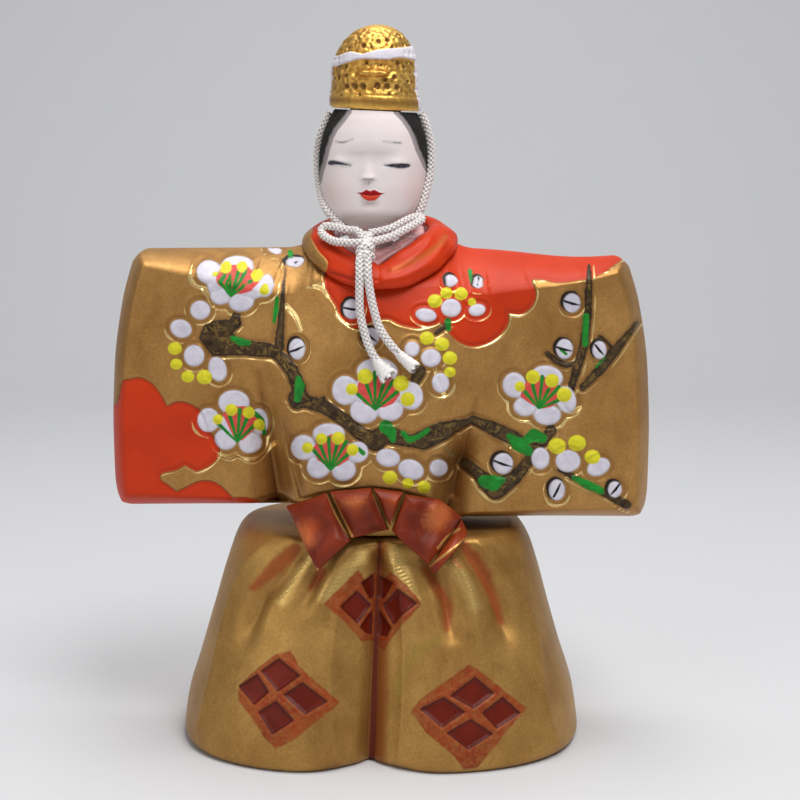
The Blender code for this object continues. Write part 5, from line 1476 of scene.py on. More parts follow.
BOW_SHEEN = (
    (306, 536, 20, 32, 25), (354, 506, 24, 14, 0), (396, 503, 12, 10, 0), (438, 518, 26, 24, 40),
    (452, 549, 26, 8, -35),
)
BOW_POINTS = 72


def body_front(x, z):
    """The foremost of trousers and robe close to x and z."""
    levels = np.linspace(-0.0022, 0.0022, 7)[:, None, None] + z
    across, up = np.broadcast_to(x, levels.shape), np.maximum(levels, ROBE_FOOT)
    chest = robe_depth(across, up, 1, CHEST_FRONT, SLEEVE_FRONT)
    trousers = hakama_front(x, np.minimum(levels, HAKAMA_HEIGHT))
    return np.where(levels <= HAKAMA_HEIGHT, trousers, -chest).min(axis=0)


def smooth_seat(seat):
    """A seat without the kink at the hem, moved forward as far as it takes to clear what is behind."""
    soft = seat.copy()
    for _ in range(120):
        soft[1:-1] = (soft[:-2] + soft[1:-1] + soft[2:]) / 3
    return soft + np.minimum((seat - soft).min(), 0)


def bow_edge(spots, share):
    spots = np.asarray(spots)
    at = np.linspace(0, 1, len(spots))
    across, up = (np.interp(share, at, values) for values in spots.T)
    return BOW_X + BOW_WIDTH * across, BOW_FOOT + BOW_RISE * up


def bow_slab(low, high, thickness):
    share = (1 - np.cos(np.linspace(0, math.pi, BOW_POINTS))) / 2
    u, v = np.meshgrid(share, share)
    low_x, low_z = bow_edge(low, u)
    high_x, high_z = bow_edge(high, u)
    x, z = mix(low_x, high_x, v), mix(low_z, high_z, v)
    seat = smooth_seat(body_front(x, z)) - BOW_SEAT_GAP
    edge = np.minimum(np.minimum(u, 1 - u), np.minimum(v, 1 - v))
    swell = 1 - (1 - np.clip(edge / 0.30, 0, 1)) ** 2.2
    lip = np.sqrt(np.clip(1 - (1 - np.clip(edge / 0.03, 0, 1)) ** 2, 0, 1))
    height = thickness * (BOW_EDGE_SHARE * (0.25 + 0.75 * lip) + (1 - BOW_EDGE_SHARE) * swell)
    front = np.stack((x, seat - height, z), -1)
    places = photo_place(front).reshape(-1, 2)
    folds = bump(to_strokes(places, BOW_FOLDS), 7.5).reshape(x.shape)
    sheen = fade(0.5 - to_ovals(places, BOW_SHEEN).reshape(x.shape) / 16)
    front[..., 1] += (0.00060 * folds - 0.00050 * sheen) * fade(edge / 0.1) + mould_waver(front, 0.00014, 9)
    return front, np.stack((x, seat, z), -1), places


print("bow pieces:", len(BOW_PIECES))


# %% Bow's faces, coats and pieces
def slab_faces(rows, columns):
    """A front grid and the same grid behind it, closed round all four edges."""
    front = np.arange(rows * columns).reshape(rows, columns)
    behind = front[::-1] + rows * columns
    left = np.stack((front[:-1, 0], front[1:, 0], behind[1:, 0], behind[:-1, 0]), -1)
    right = np.stack((front[:-1, -1], behind[:-1, -1], behind[1:, -1], front[1:, -1]), -1)
    return np.vstack((grid_faces(2 * rows, columns, wrap_rows=True), left, right))


def bow_layers(places):
    layers = {
        "gilding": to_strokes(places, BOW_GILDING, 2.6),
        "sheen": to_ovals(places, BOW_SHEEN),
        # fold: where painted shade lies along the pressed folds
        "fold": 4 - 6 * bump(to_strokes(places, BOW_FOLDS), 8.0),
        "glint": to_ovals(places, BOW_GLINTS),
    }
    return {name: np.concatenate((values, np.full(len(values), FAR))) for name, values in layers.items()}


def bow_finish():
    paint = Painter("painted_sash", 0.25)
    paint.matte((134, 46, 14), (100, 26, 6), 0.8, 0.3, 150.0, 0.46)
    paint.coat(("sheen", 14.0, 4.0), (188, 84, 34), (160, 64, 24), 0.4, 0.15, 0.7, 0.3, 400.0, share=0.70)
    # painted shade in the folds' valleys
    paint.coat(("fold", 6.0, 1.0), (76, 18, 6), share=0.5)
    paint.coat(("glint", 9.0, 12.0, 1500.0), (214, 128, 74), rough=0.34, metal=0.2, share=0.40)
    paint.coat(("gilding", 0.9, 0.9), (206, 158, 90), rough=0.34, metal=0.6, share=0.85)
    return paint.done()


def make_bow():
    finish, faces = bow_finish(), slab_faces(BOW_POINTS, BOW_POINTS)
    for node, (low, high, thickness) in BOW_PIECES.items():
        front, back, places = bow_slab(low, high, thickness)
        mesh = make_mesh(node + "_cloth", np.vstack((front, back[::-1])), faces)
        keep_layers(mesh, bow_layers(places))
        place_piece(node + "_cloth", mesh, finish, "body", "sash_russet", node)


make_bow()

# %% [markdown]
# ## Head
# The head and neck are one white casting. The face is modelled very shallow: a small nose, lids
# that are nearly closed, a small mouth and a soft chin. The eyes, brows, lips and hair are
# painted on it with a thin brush.

# %% Head's sizes, as in the source
HEAD_TILT, HEAD_TURN = math.radians(2.6), math.radians(-3.0)
NECK_SEAT = 0.1145
HEAD_FOOT = NECK_SEAT + JOINT_GAP + NECK_RADIUS * math.sin(HEAD_TILT)
CHIN_HEIGHT, HEAD_RISE = 0.1203, 0.0287
HEAD_TOP = CHIN_HEIGHT + HEAD_RISE
HEAD_HALF_WIDTH, HEAD_HALF_DEPTH, HEAD_SQUARENESS = 0.0128, 0.0136, 2.15
HEAD_SHARES = (
    (0.0, 0.24, 0.66, -0.05), (0.03, 0.44, 0.75, 0.08), (0.12, 0.71, 0.87, 0.38), (0.26, 0.885, 0.945, 0.7),
    (0.42, 0.965, 0.98, 0.9), (0.6, 1.0, 0.985, 0.98), (0.8, 0.94, 0.95, 1.0), (0.92, 0.84, 0.89, 0.96),
    (1.0, 0.76, 0.8, 0.88),
)
CAP_SPIGOT_RADIUS, CAP_SPIGOT_RISE = 0.0060, 0.0030
HEAD_MATRIX = np.array(Euler((0.0, HEAD_TILT, HEAD_TURN)).to_matrix())
HEAD_ORIGIN = np.array((HEAD_X, HEAD_Y, HEAD_FOOT))


def on_doll(points):
    """From the head's own frame to the doll's."""
    return points @ HEAD_MATRIX.T + HEAD_ORIGIN


print("the head's foot stands at", HEAD_ORIGIN.round(4))


# %% Rings of the head
def head_turns(count):
    """Directions round the head, crowded towards the face at -90 degrees."""
    turn = np.linspace(0, 2 * math.pi, count, endpoint=False)
    return turn - 0.45 * np.sin(turn) - math.pi / 2


def signed_power(value, power):
    return np.sign(value) * np.abs(value) ** power


def head_ring(share, turns):
    width, front, back = (size * table_value(HEAD_SHARES, share, k) for size, k in (
        (HEAD_HALF_WIDTH, 1), (HEAD_HALF_DEPTH, 2), (HEAD_HALF_DEPTH, 3)))
    power = 2 / HEAD_SQUARENESS
    x = width * signed_power(np.cos(turns), power)
    y = (back - front) / 2 + (back + front) / 2 * signed_power(np.sin(turns), power)
    return np.stack((x, y, np.full(len(turns), CHIN_HEIGHT - HEAD_FOOT + HEAD_RISE * share)), -1)


def round_ring(radius, z, turns):
    return np.stack((radius * np.cos(turns), radius * np.sin(turns), np.full(len(turns), z)), -1)


def even_rises(table, half_width, rise, top, count, spacing):
    """Shares of a rise that lie an even step apart along its side."""
    dense = np.linspace(0, top, count)
    run = lengths_along(half_width * table_value(table, dense), rise * dense)
    return np.interp(np.linspace(0, run[-1], round(run[-1] / spacing)), run, dense)


def head_grid():
    turns = head_turns(440)
    neck_top, top = CHIN_HEIGHT - HEAD_FOOT - 0.35 * NECK_RADIUS, HEAD_TOP - HEAD_FOOT
    rings = [round_ring(radius, 0.0, turns) for radius in (0.0, 0.0034, NECK_RADIUS)]
    rings += [round_ring(NECK_RADIUS, neck_top * t, turns) for t in (0.3, 0.6, 0.9, 1.0)]
    rings += [mix(rings[-1], head_ring(0.0, turns), t) for t in (0.25, 0.5, 0.75)]
    rises = even_rises(HEAD_SHARES, HEAD_HALF_WIDTH, HEAD_RISE, 1, 800, 0.00016)
    rings += [head_ring(share, turns) for share in rises]
    for share in (0.04, 0.1, 0.2, 0.5, 1.0):
        rings.append(mix(rings[-1], round_ring(CAP_SPIGOT_RADIUS, top, turns), share))
    rings += [round_ring(radius, top + CAP_SPIGOT_RISE, turns) for radius in (CAP_SPIGOT_RADIUS, 0.0)]
    return np.array(rings), turns


# %% The painted face, in the photograph's grid
FACE = (
    351.5, 108, 351.5, 112.7, 345, 121.4, 338, 130, 333.8, 137.7, 329.5, 150.6, 326.5, 163.5, 323.5, 173.8,
    321.8, 183.3, 300, 190, 300, 262, 452, 262, 452, 174, 424.2, 169.5, 419.9, 160, 415.6, 150.6, 411.3,
    137.7, 407, 129, 401, 120.5, 393.2, 112.7, 393.2, 108,
)
RIGHT_EYE = (329.6, 163.2, 334, 162.6, 341, 163.5, 350.5, 165.4)
LEFT_EYE = (384.3, 165.3, 392, 165.6, 400, 165.9, 409.4, 165.6)
LASHES = ((338, 161.5, 345, 162.6, 351, 163.6), (341, 166, 347, 167, 351.5, 166.4))
BROWS = ((335.5, 141.4, 341, 142.4, 346, 141.6, 352.5, 139.2), (384, 141.4, 391, 142.2, 401.5, 142.9))
BROW_CORES = ((338.6, 142.0, 342.5, 142.5, 346, 141.7), (393.6, 142.4, 397, 142.7, 400.2, 142.9))
UPPER_LIP = (
    356.4, 192.7, 361.8, 192.2, 366.6, 189.5, 370.4, 191.0, 374.4, 189.5, 379.5, 192.2, 384.8, 193.4, 379.0,
    195.0, 370.5, 195.6, 362.0, 194.8,
)
LOWER_LIP = (
    359.8, 194.4, 370.5, 195.4, 380.6, 194.6, 377.2, 198.4, 373.6, 200.6, 368.0, 200.7, 363.6, 198.2,
)
NOSE = (367, 150, 367.4, 162, 368.0, 173, 368.4, 178.0)
NOSTRILS = ((364.6, 178.4), (372.4, 178.0))
# how wide an eye's line is at some shares of its length
EYE_WIDTHS = (
    ((0, 0.15, 0.6, 1), (3.2, 4.8, 3.0, 0.8)),
    ((0, 0.35, 0.7, 0.93, 1), (0.6, 3.4, 5.2, 4.0, 2.0)),
)


def round_from_front(turns):
    """Angles from the front, which is at -90 degrees: 0 there, and up to half a turn either way."""
    return (turns + math.pi / 2 + math.pi) % (2 * math.pi) - math.pi


def hair_layer(places, local, turns):
    """In front the hair ends at the painted face, and behind it ends at a line above the neck."""
    off_front = np.abs(round_from_front(turns))
    side = np.where(np.cos(turns) < 0, 0.1317, 0.1348)
    line = np.interp(off_front, (1.45, 2.27, 3.15), (0.0, 1.0, 1.3))
    hair_line = mix(side, 0.1250, np.minimum(line, 1)) - 0.0025 * np.maximum(line - 1, 0)
    behind = hair_line - (local[..., 2] + HEAD_FOOT)
    painted = -to_outline(places, FACE).reshape(local.shape[:2])
    return mix(painted, behind / 0.00023, fade((off_front - 1.32) / 0.25))


def eye_line(places, spots, widths):
    run = smooth_run(spots)
    return to_line(places, run, np.interp(np.linspace(0, 1, len(run)), *widths))


def face_layers(places, local, turns):
    nose = to_oval(places, 368.4, 179.2, 9.5, 2.8), to_line(places, (368.6, 180, 368.6, 184), 1.0)
    layers = {
        "upper_lip": to_outline(places, UPPER_LIP),
        "lower_lip": to_outline(places, LOWER_LIP),
        "eye": nearest(eye_line(places, *eye) for eye in zip((RIGHT_EYE, LEFT_EYE), EYE_WIDTHS)),
        "lash": to_strokes(places, LASHES, 1.1),
        "brow": to_strokes(places, BROWS, 2.0),
        "brow_core": nearest(to_line(places, line, 1.2) for line in BROW_CORES),
        "nose_shade": nearest(nose),
        # socket: where painted shade lies over the eyes and between the brows
        "socket": to_oval(places, 370.5, 153, 46, 13),
        "chin_shade": to_ovals(places, ((371, 219, 66, 15), (370, 203.8, 13, 4.5))),
        "cheek": to_ovals(places, ((337, 190, 22, 24), (410, 190, 22, 26))),
    }
    shaped = {name: values.reshape(local.shape[:2]) for name, values in layers.items()}
    return {"hair": hair_layer(places, local, turns), **shaped}


# %% Relief of the face
# sockets, lids, the chin's hollow, chin and cheeks: x, y, how much wider than high, height and spread
SWELLS = (
    (345, 155, 1.9, -0.00012, 10), (369, 154, 1.9, -0.00012, 10), (393, 155, 1.9, -0.00012, 10),
    (340, 161.5, 2.0, 0.00030, 4.2), (397, 162.5, 2.0, 0.00030, 4.2),
    (370.3, 205, 1.9, -0.00030, 4.5), (370.3, 214, 1.6, 0.00030, 8),
    (338, 188, 1, 0.00022, 14), (405, 188, 1, 0.00022, 14),
)


def face_relief(places):
    """Height over the plain head, in metres."""
    x, y = places.T
    along = np.clip((y - 150) / 28.5, 0, 1)
    bridge = bump(to_line(places, smooth_run(NOSE)), 4.2 + 1.4 * along)
    raised = (0.00005 + 0.00105 * along**2.0) * bridge * fade((182.0 - y) / 3.4) * fade((y - 146) / 12)
    for across, down in NOSTRILS:
        raised += 0.00026 * bump(np.hypot(x - across, y - down + 0.8), 2.4)
        raised -= 0.00018 * bump(np.hypot(x - across - 0.3 * (368.8 - across), y - down - 1.8), 1.3)
    for across, down, wide, rise, reach in SWELLS:
        raised += rise * bump(np.hypot((x - across) / wide, y - down), reach)
    raised -= 0.00014 * bump(to_strokes(places, (RIGHT_EYE, LEFT_EYE)), 1.2)
    raised += 0.00034 * fade(-to_outline(places, UPPER_LIP) / 2.2 + 0.4)
    raised += 0.00046 * fade(-to_outline(places, LOWER_LIP) / 2.6 + 0.4)
    raised -= 0.00022 * bump(to_line(places, (357, 193.2, 370, 195.4, 384, 193.8)), 0.9)
    return raised


# %% The face's coats
def face_finish():
    """Matte white shell paint, with the face and hair brushed on."""
    paint = Painter("painted_face", 0.12)
    paint.matte((234, 224, 222), (228, 212, 208), 0.5, 0.02, 120.0, 0.55)
    paint.coat(("cheek", 16.0, 0.3), (236, 204, 198), rough=0.55, share=0.35)
    # painted shade over the eye sockets and between the brows
    paint.coat(("socket", 14.0, 0.3), (172, 160, 160), rough=0.55, share=0.50)
    paint.coat(("chin_shade", 8.0, 0.3), (176, 158, 152), rough=0.55, share=0.62)
    paint.coat(("nose_shade", 2.2, 0.3), (150, 142, 146), rough=0.55, share=0.75)
    paint.coat(("brow", 2.6, 1.6, 1400.0), (140, 136, 146), rough=0.55, share=0.50)
    paint.coat(("brow_core", 1.6, 1.0, 1400.0), (82, 80, 92), rough=0.55, share=0.75)
    paint.coat(("lash", 1.0, 0.5), (120, 118, 130), share=0.4)
    paint.coat(("eye", 3.4, 2.0, 1400.0), (120, 116, 128), rough=0.55, share=0.5)
    paint.coat(("eye", 1.2, 1.3, 1800.0), (38, 38, 50), (92, 90, 104), 0.55, 0.0, 0.8, 0.1, 1300.0)
    paint.coat(("lower_lip", 0.7, 0.3), (214, 66, 40), rough=0.36)
    paint.coat(("upper_lip", 0.7, 0.3), (158, 16, 20), rough=0.36)
    paint.coat(("hair", 1.2, 0.8), (118, 108, 112), share=0.78)
    deep = maths(paint.tree, "ADD", paint.layer("hair"), 4.0)
    paint.coat((deep, 2.4, 1.6, 1200.0), (34, 33, 32), (54, 52, 50), 0.70, 0.0, 0.6, 0.1, 500.0)
    return paint.done(0.08, 0.0001)


# %% Head
PLAIN_RINGS = 9


def make_head():
    local, turns = head_grid()
    shape = local.shape[:2]
    places = photo_place(on_doll(local)).reshape(-1, 2)
    front = fade((-local[..., 1] - 0.001) / 0.004)
    inner = np.zeros(shape)
    inner[PLAIN_RINGS:-PLAIN_RINGS] = 1.0
    layers = face_layers(places, local, turns)
    relief = face_relief(places).reshape(shape) * front + mould_waver(local, 0.00005, 12)
    comb = np.sin(np.arctan2(local[..., 1], local[..., 0]) * 60 + 900 * local[..., 2])
    strands = 0.00009 * comb * fade(-(layers["hair"] + 3) / 4)
    local += grid_normals(local, wrap_columns=True) * ((relief + strands) * inner)[..., None]
    for name in layers:
        if name != "hair":
            layers[name] = np.where((front > 0.1) & (inner > 0), layers[name], FAR)
    layers["hair"][-PLAIN_RINGS:] = layers["hair"][-PLAIN_RINGS - 1]
    layers["hair"][:PLAIN_RINGS] = FAR
    mesh = grid_mesh("painted_head", on_doll(local), layers, reach=1e-7)
    place_piece("painted_head", mesh, face_finish(), "head", "face_white", "head")


make_head()

# %% [markdown]
# ## Cap
# The small stiff cap is covered in bright gold. Rows of dents stand for its woven stuff, a
# smooth rim runs round its foot, and a boss sits in a hollow at its front. Its strap is a raised
# white stripe that comes down at both sides to where the real cord begins.

# %% Cap
CAP_HALF_WIDTH, CAP_HALF_DEPTH, CAP_RISE = 0.0105, 0.0112, 0.0197
CAP_SHARES = (
    (0.0, 0.975), (0.03, 1.0), (0.17, 1.0), (0.22, 0.965), (0.45, 0.945), (0.62, 0.9), (0.76, 0.79),
    (0.87, 0.63), (0.95, 0.41), (0.99, 0.19),
)
CAP_LEAN = -0.0006
CAP_RIM_SHARE = 0.165
CAP_STRAP = (
    331.5, 57.6, 342, 54.2, 350, 51.6, 356, 52.6, 362, 54.2, 369, 52.2, 376, 50.2, 388, 48.6, 402, 47.6,
    412.5, 45.8, 420, 44, 420, 61, 412, 59.8, 401, 57.4, 388, 59.6, 376, 59.4, 366, 59, 357, 59.4, 349, 62,
    340, 64.6, 331.5, 67.6, 325, 70, 325, 60,
)
# pits and pads are x, y and size
CAP_PITS = (
    (345.3, 86, 5), (353.6, 86, 6), (362.4, 86, 6.5), (377.6, 85.5, 6.5), (387.8, 86, 6), (398, 87, 6),
    (339, 64.5, 4.5), (345.5, 66, 4.5), (338, 76.3, 4.5), (345.6, 75.3, 4), (398.7, 63, 5.5), (395, 77, 5),
    (386, 80, 4.5), (405, 67, 4.5), (357.3, 37, 3.5), (378.7, 41, 4.5), (387.8, 38.8, 4.5),
    (363, 45.3, 5.5), (347.8, 47.6, 3), (345, 39, 2.6), (393, 46, 3), (366, 62.5, 3), (382, 64.5, 3),
    (340, 95, 2.6), (359, 95, 3), (390, 94, 3), (371, 46.5, 3),
)
CAP_PADS = (
    (344.6, 91.6, 5), (353.6, 92, 5), (364.5, 92, 5.5), (379, 92, 5.5), (387.8, 92, 5), (396.6, 93, 5),
    (349, 70, 5), (341, 70.5, 4), (402, 70, 5), (391, 69, 4),
)
CROWN_SHARE = CAP_SHARES[-1][0]


def cap_grid():
    turns = head_turns(420)
    shares = even_rises(CAP_SHARES, CAP_HALF_WIDTH, CAP_RISE, CROWN_SHARE, 900, 0.00014)
    foot = HEAD_TOP - HEAD_FOOT + JOINT_GAP
    oval = np.stack((CAP_HALF_WIDTH * np.cos(turns), CAP_HALF_DEPTH * np.sin(turns)), -1)
    rings = []
    for up in shares:
        ring = oval * table_value(CAP_SHARES, up) + (CAP_LEAN * math.sin(math.pi * up), 0.0)
        rings.append(np.column_stack((ring, np.full(len(turns), foot + CAP_RISE * up))))
    top = rings[-1]
    for share in (0.7, 0.4, 0.0):
        rings.append(np.column_stack((top[:, :2] * share, top[:, 2] + 0.0002 * (1 - share**2))))
    socket, roof = CAP_SPIGOT_RADIUS + JOINT_GAP, foot + CAP_SPIGOT_RISE + JOINT_GAP
    under = [round_ring(0.0, roof, turns), round_ring(socket, roof, turns), round_ring(socket, foot, turns)]
    under.append(mix(rings[0], under[-1], 0.1))
    return np.array(under + rings), turns, np.concatenate((np.zeros(4), shares, np.full(3, CROWN_SHARE)))


# %% Dents
DENT_ROWS, DENTS_ROUND = 19, 44


def side_dents(off_front, shares):
    """Rows of dents round the sides and back, each row half a step further round than the last."""
    row = (shares - 0.24) * CAP_RISE / 0.0021
    level = np.round(row)
    column = off_front / math.radians(12.5) + 0.5 * (level % 2)
    gap = np.hypot((row - level) * 1.1, column - np.round(column))
    low, high = fade((shares - 0.22) / 0.04), fade((0.93 - shares) / 0.06)
    return bump(gap, 0.24) * low * high * fade((np.abs(off_front) - 0.75) / 0.2)


def hammered(off_front, shares):
    """Small dents laid all over, none quite like the next: 1 at the middle of each, 0 between."""
    draw = np.random.default_rng(17)
    size = table_value(CAP_SHARES, shares)
    run = np.cumsum(np.hypot(np.gradient(size) * CAP_HALF_WIDTH, np.gradient(shares) * CAP_RISE))
    gap = np.full((len(shares), len(off_front)), 1.0)
    for row in range(DENT_ROWS):
        level = (row + 0.5) * run[-1] / DENT_ROWS
        count = max(round(DENTS_ROUND * np.interp(level, run, size)), 4)
        for column in range(count):
            turn = (column + 0.5 * (row % 2) + draw.uniform(-0.45, 0.45)) / count * 2 * math.pi - math.pi
            off = (off_front[None, :] - turn + math.pi) % (2 * math.pi) - math.pi
            away = run[:, None] - level - draw.uniform(-0.0005, 0.0005)
            aside = np.hypot(off * size[:, None] * CAP_HALF_WIDTH, away)
            gap = np.minimum(gap, aside * draw.uniform(0.8, 1.5))
    return bump(gap, 0.00080)


def strap_layer(places, off_front, shares):
    """The white strap: an outline in front, and a stripe down each side."""
    left = off_front > 0
    sideways = np.where(left, off_front - math.radians(80), off_front + math.radians(86)) * CAP_HALF_WIDTH
    level = np.maximum(shares - np.where(left, 0.60, 0.56), 0.02 - shares) * CAP_RISE
    side = np.maximum(np.abs(sideways) - 0.00095, level) / 0.00023
    front = to_outline(places, CAP_STRAP).reshape(side.shape)
    return np.minimum(np.where(np.abs(off_front) < 1.5, front, FAR), side)


# %% Layers and relief of the cap
def cap_layers(places, local, turns, shares):
    shape = local.shape[:2]
    off_front, up = round_from_front(turns), shares[:, None]
    front = fade((1.25 - np.abs(off_front)) / 0.15)
    strap = strap_layer(places, off_front, up)
    pits = np.where(front > 0.5, to_dots(places, CAP_PITS, 1.0, 1.1).reshape(shape), FAR)
    dents = side_dents(off_front, up)
    rim = fade((CAP_RIM_SHARE + 0.02 - up) / 0.02)
    dented = hammered(off_front, shares) * fade((0.97 - up) / 0.05)
    rim_shade = (np.abs(up - 0.09) - 0.035) * CAP_RISE / 0.00023
    layers = {
        "strap": strap,
        # painted shade in the pits and the rows of dents
        "pit_shade": np.minimum(pits, 3.0 - 6.0 * dents),
        # painted shade in the hammered dents
        "dent_shade": 3.0 - 6.0 * dented * (1 - 0.6 * rim),
        "rim_shade": np.broadcast_to(rim_shade, shape),
    }
    relief = -0.00050 * bump(np.maximum(pits + 2.0, 0), 1.7) * front - 0.00042 * dents
    for x, y, size in CAP_PADS:
        pad = bump(np.hypot(places[:, 0] - x, places[:, 1] - y), size * 0.5)
        relief += 0.00026 * front * pad.reshape(shape)
    hollow, boss = to_oval(places, 372.5, 69.5, 52, 24), to_oval(places, 372.5, 73.5, 38, 15)
    relief += front * (-0.00060 * fade(-hollow / 5.0) + 0.00150 * fade(-boss / 7.0)).reshape(shape)
    relief += 0.00030 * fade(-strap / 1.5 + 0.3)
    relief += mould_waver(local * 8.0, 0.00005, 21) * (1 - rim) + mould_waver(local, 0.00006, 22)
    relief -= 0.00026 * dented * (1 - 0.75 * rim) * fade(strap / 2.0 + 0.5)
    relief -= 0.00022 * bump((up - CAP_RIM_SHARE) * CAP_RISE, 0.00028)
    relief += rim * 0.00016 * np.sin((up / CAP_RIM_SHARE) * math.pi)
    return layers, relief


def cap_finish():
    paint = Painter("painted_cap")
    paint.gold((250, 208, 112), (214, 156, 66), (150, 92, 34), 420.0, 0.85)
    # painted shade in the hammered dents
    paint.coat(("dent_shade", 5.0, 2.0), (150, 92, 34), rough=0.36, metal=0.8, share=0.55)
    paint.coat(("rim_shade", 4.0, 4.0, 500.0), (116, 70, 30), rough=0.45, metal=0.5, share=0.62)
    # painted shade in the pits and the rows of dents
    paint.coat(("pit_shade", 2.0, 0.8), (78, 40, 16), rough=0.6, metal=0.3, share=0.8)
    paint.coat(("strap", 0.9, 0.9), (226, 220, 228), (200, 192, 200), 0.5, 0.0, 0.4, 0.05, 500.0)
    return paint.done(0.3)


def make_cap():
    local, turns, shares = cap_grid()
    places = photo_place(on_doll(local)).reshape(-1, 2)
    layers, relief = cap_layers(places, local, turns, shares)
    steady = fade(shares / 0.02)
    steady[:5] = steady[-2:] = 0.0
    local += grid_normals(local, wrap_columns=True) * (relief * steady[:, None])[..., None]
    mesh = grid_mesh("painted_cap", on_doll(local), layers, reach=1e-7)
    place_piece("painted_cap", mesh, cap_finish(), "head", "cap_gold", "cap")


make_cap()

# %% [markdown]
# ## Neck peg
# The head is pushed on a peg of split bamboo. It shows only when the head is lifted.

# %% Neck peg
PEG_RADIUS = 0.0030
PEG_SIDES = 64
peg_foot, peg_top = (corner[2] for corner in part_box("neck_peg"))
print("the peg stands from", round(peg_foot, 4), "to", round(peg_top, 4))


def wood_finish():
    """Plain split bamboo: long fine grain, a little darker here and there."""
    paint = Painter("peg_wood", 0.5)
    stretched = add_node(paint.tree, "ShaderNodeMapping", Vector=object_places(paint.tree),
                         Scale=(1.0, 1.0, 0.06))
    grain = noise(paint.tree, 2600.0, 4.0, 0.6, 0.4, stretched.outputs[0])
    paint.ground(blend_colour(paint.tree, grain, linear((150, 112, 66)), linear((206, 172, 118))), grain, 0.6)
    return paint.done(0.4, 0.0002)


def make_peg():
    """A whittled peg: a rod with faint flats and chamfered ends."""
    rise = peg_top - peg_foot
    turns = np.linspace(0, 2 * math.pi, PEG_SIDES, endpoint=False)
    whittle = 1 - 0.02 * np.abs(np.sin(turns * 4.5))
    profile = ((0, 0), (0, 0.84), (0.0005, 1), (rise * 0.35, 0.995),
               (rise * 0.7, 1), (rise - 0.0005, 1), (rise, 0.84), (rise, 0))
    rings = np.array([round_ring(1.0, peg_foot + z, turns) for z, _ in profile])
    for ring, (_, radius) in zip(rings, profile):
        ring[:, :2] = ring[:, :2] * (whittle * PEG_RADIUS * radius)[:, None] + (HEAD_X, HEAD_Y)
    mesh = grid_mesh("whittled_peg", rings, {}, reach=1e-7)
    place_piece("whittled_peg", mesh, wood_finish(), "neck_peg", "peg_wood", "neck_peg")


make_peg()

# %% [markdown]
# ## The braided cord
# A real white cord of eight strands, about 2 mm thick. It starts at the cap's strap on each side,
# runs down the cheek, and is tied under the chin in a bow with two loops and two tails. Four
# strands wind one way and four the other, over and under by turns, and the ends are a little frayed.

# %% Routes, the same as in the source
# spots are in tenths of a millimetre
CORD_ROUTES = {
    "cheek_cord_right": (
        (-130, 4, 1483), (-149, 0, 1440), (-159, -6, 1395), (-159, -16, 1350), (-152, -38, 1302),
        (-136, -64, 1262), (-108, -86, 1231), (-80, -104, 1214), (-56, -116, 1205)),
    "cheek_cord_left": (
        (100, 4, 1482), (115, 0, 1445), (123, -10, 1395), (121, -24, 1345), (110, -36, 1295),
        (94, -46, 1251), (69, -68, 1221), (37, -96, 1209), (6, -112, 1204)),
    "cord_loop_right": (
        (-56, -172, 1190), (-80, -161, 1193), (-108, -139, 1200), (-130, -117, 1212), (-138, -104, 1223),
        (-131, -101, 1235), (-109, -115, 1235), (-80, -133, 1224), (-52, -144, 1214)),
    "cord_loop_left": (
        (-3, -164, 1196), (24, -157, 1203), (52, -140, 1216), (78, -119, 1229), (94, -100, 1238),
        (93, -85, 1244), (79, -89, 1244), (56, -107, 1236), (28, -128, 1222), (-1, -137, 1214)),
    "cord_tail_right": (
        (-50, -218, 1155), (-50, -233, 1120), (-49, -236, 1080), (-46, -239, 1040), (-40, -243, 1000),
        (-31, -248, 962), (-17, -254, 926), (3, -260, 892)),
    "cord_tail_left": (
        (-25, -218, 1155), (-24, -234, 1118), (-20, -237, 1078), (-14, -240, 1042), (-2, -244, 1004),
        (18, -248, 972), (46, -252, 940), (78, -255, 912)),
}
CORD_DIAMETER = 0.0021
KNOT_TOP, KNOT_FOOT = np.array((-0.0026, -0.0141, 0.1210)), np.array((-0.0037, -0.0208, 0.1166))


def cord_route(name):
    return np.array(CORD_ROUTES[name]) / 10000


print("cord routes:", len(CORD_ROUTES))

# %% Tubes along a line
BRAID_PITCH = 0.0044
STRANDS_EACH_WAY = 4
STRAND_WIDE, STRAND_THICK, WEAVE = 0.00038, 0.00024, 0.00017
STRAND_SIDES, CORE_SIDES, FIBRE_SIDES = 6, 8, 4
CORE_RADIUS, FIBRE_RADIUS = 0.00058, 0.00006


def unit(vectors):
    return vectors / np.linalg.norm(vectors, axis=-1, keepdims=True)


def even_route(spots, spacing):
    """Points an even step apart on a smooth curve through given ones."""
    fine = smooth_run(spots, 30)
    run = lengths_along(*fine.T)
    at = np.linspace(0, run[-1], max(round(run[-1] / spacing), 2) + 1)
    return np.stack([np.interp(at, run, values) for values in fine.T], -1), at


def carried_frames(route):
    """Two directions square to the route at each point, without any twist along it."""
    ahead = unit(np.gradient(route, axis=0))
    side = np.cross(ahead[0], (0.0, 1.0, 0.2))
    sides = []
    for direction in ahead:
        side = unit(side - direction * (side @ direction))
        sides.append(side)
    return ahead, np.array(sides), np.cross(ahead, sides)


def tube(line, across, away, sides):
    """A tube round a line. across and away are its half width and half thickness at each point."""
    turn = np.linspace(0, 2 * math.pi, sides, endpoint=False)[None, :, None]
    rings = line[:, None] + np.cos(turn) * across[:, None] + np.sin(turn) * away[:, None]
    return rings.reshape(-1, 3), len(line), sides


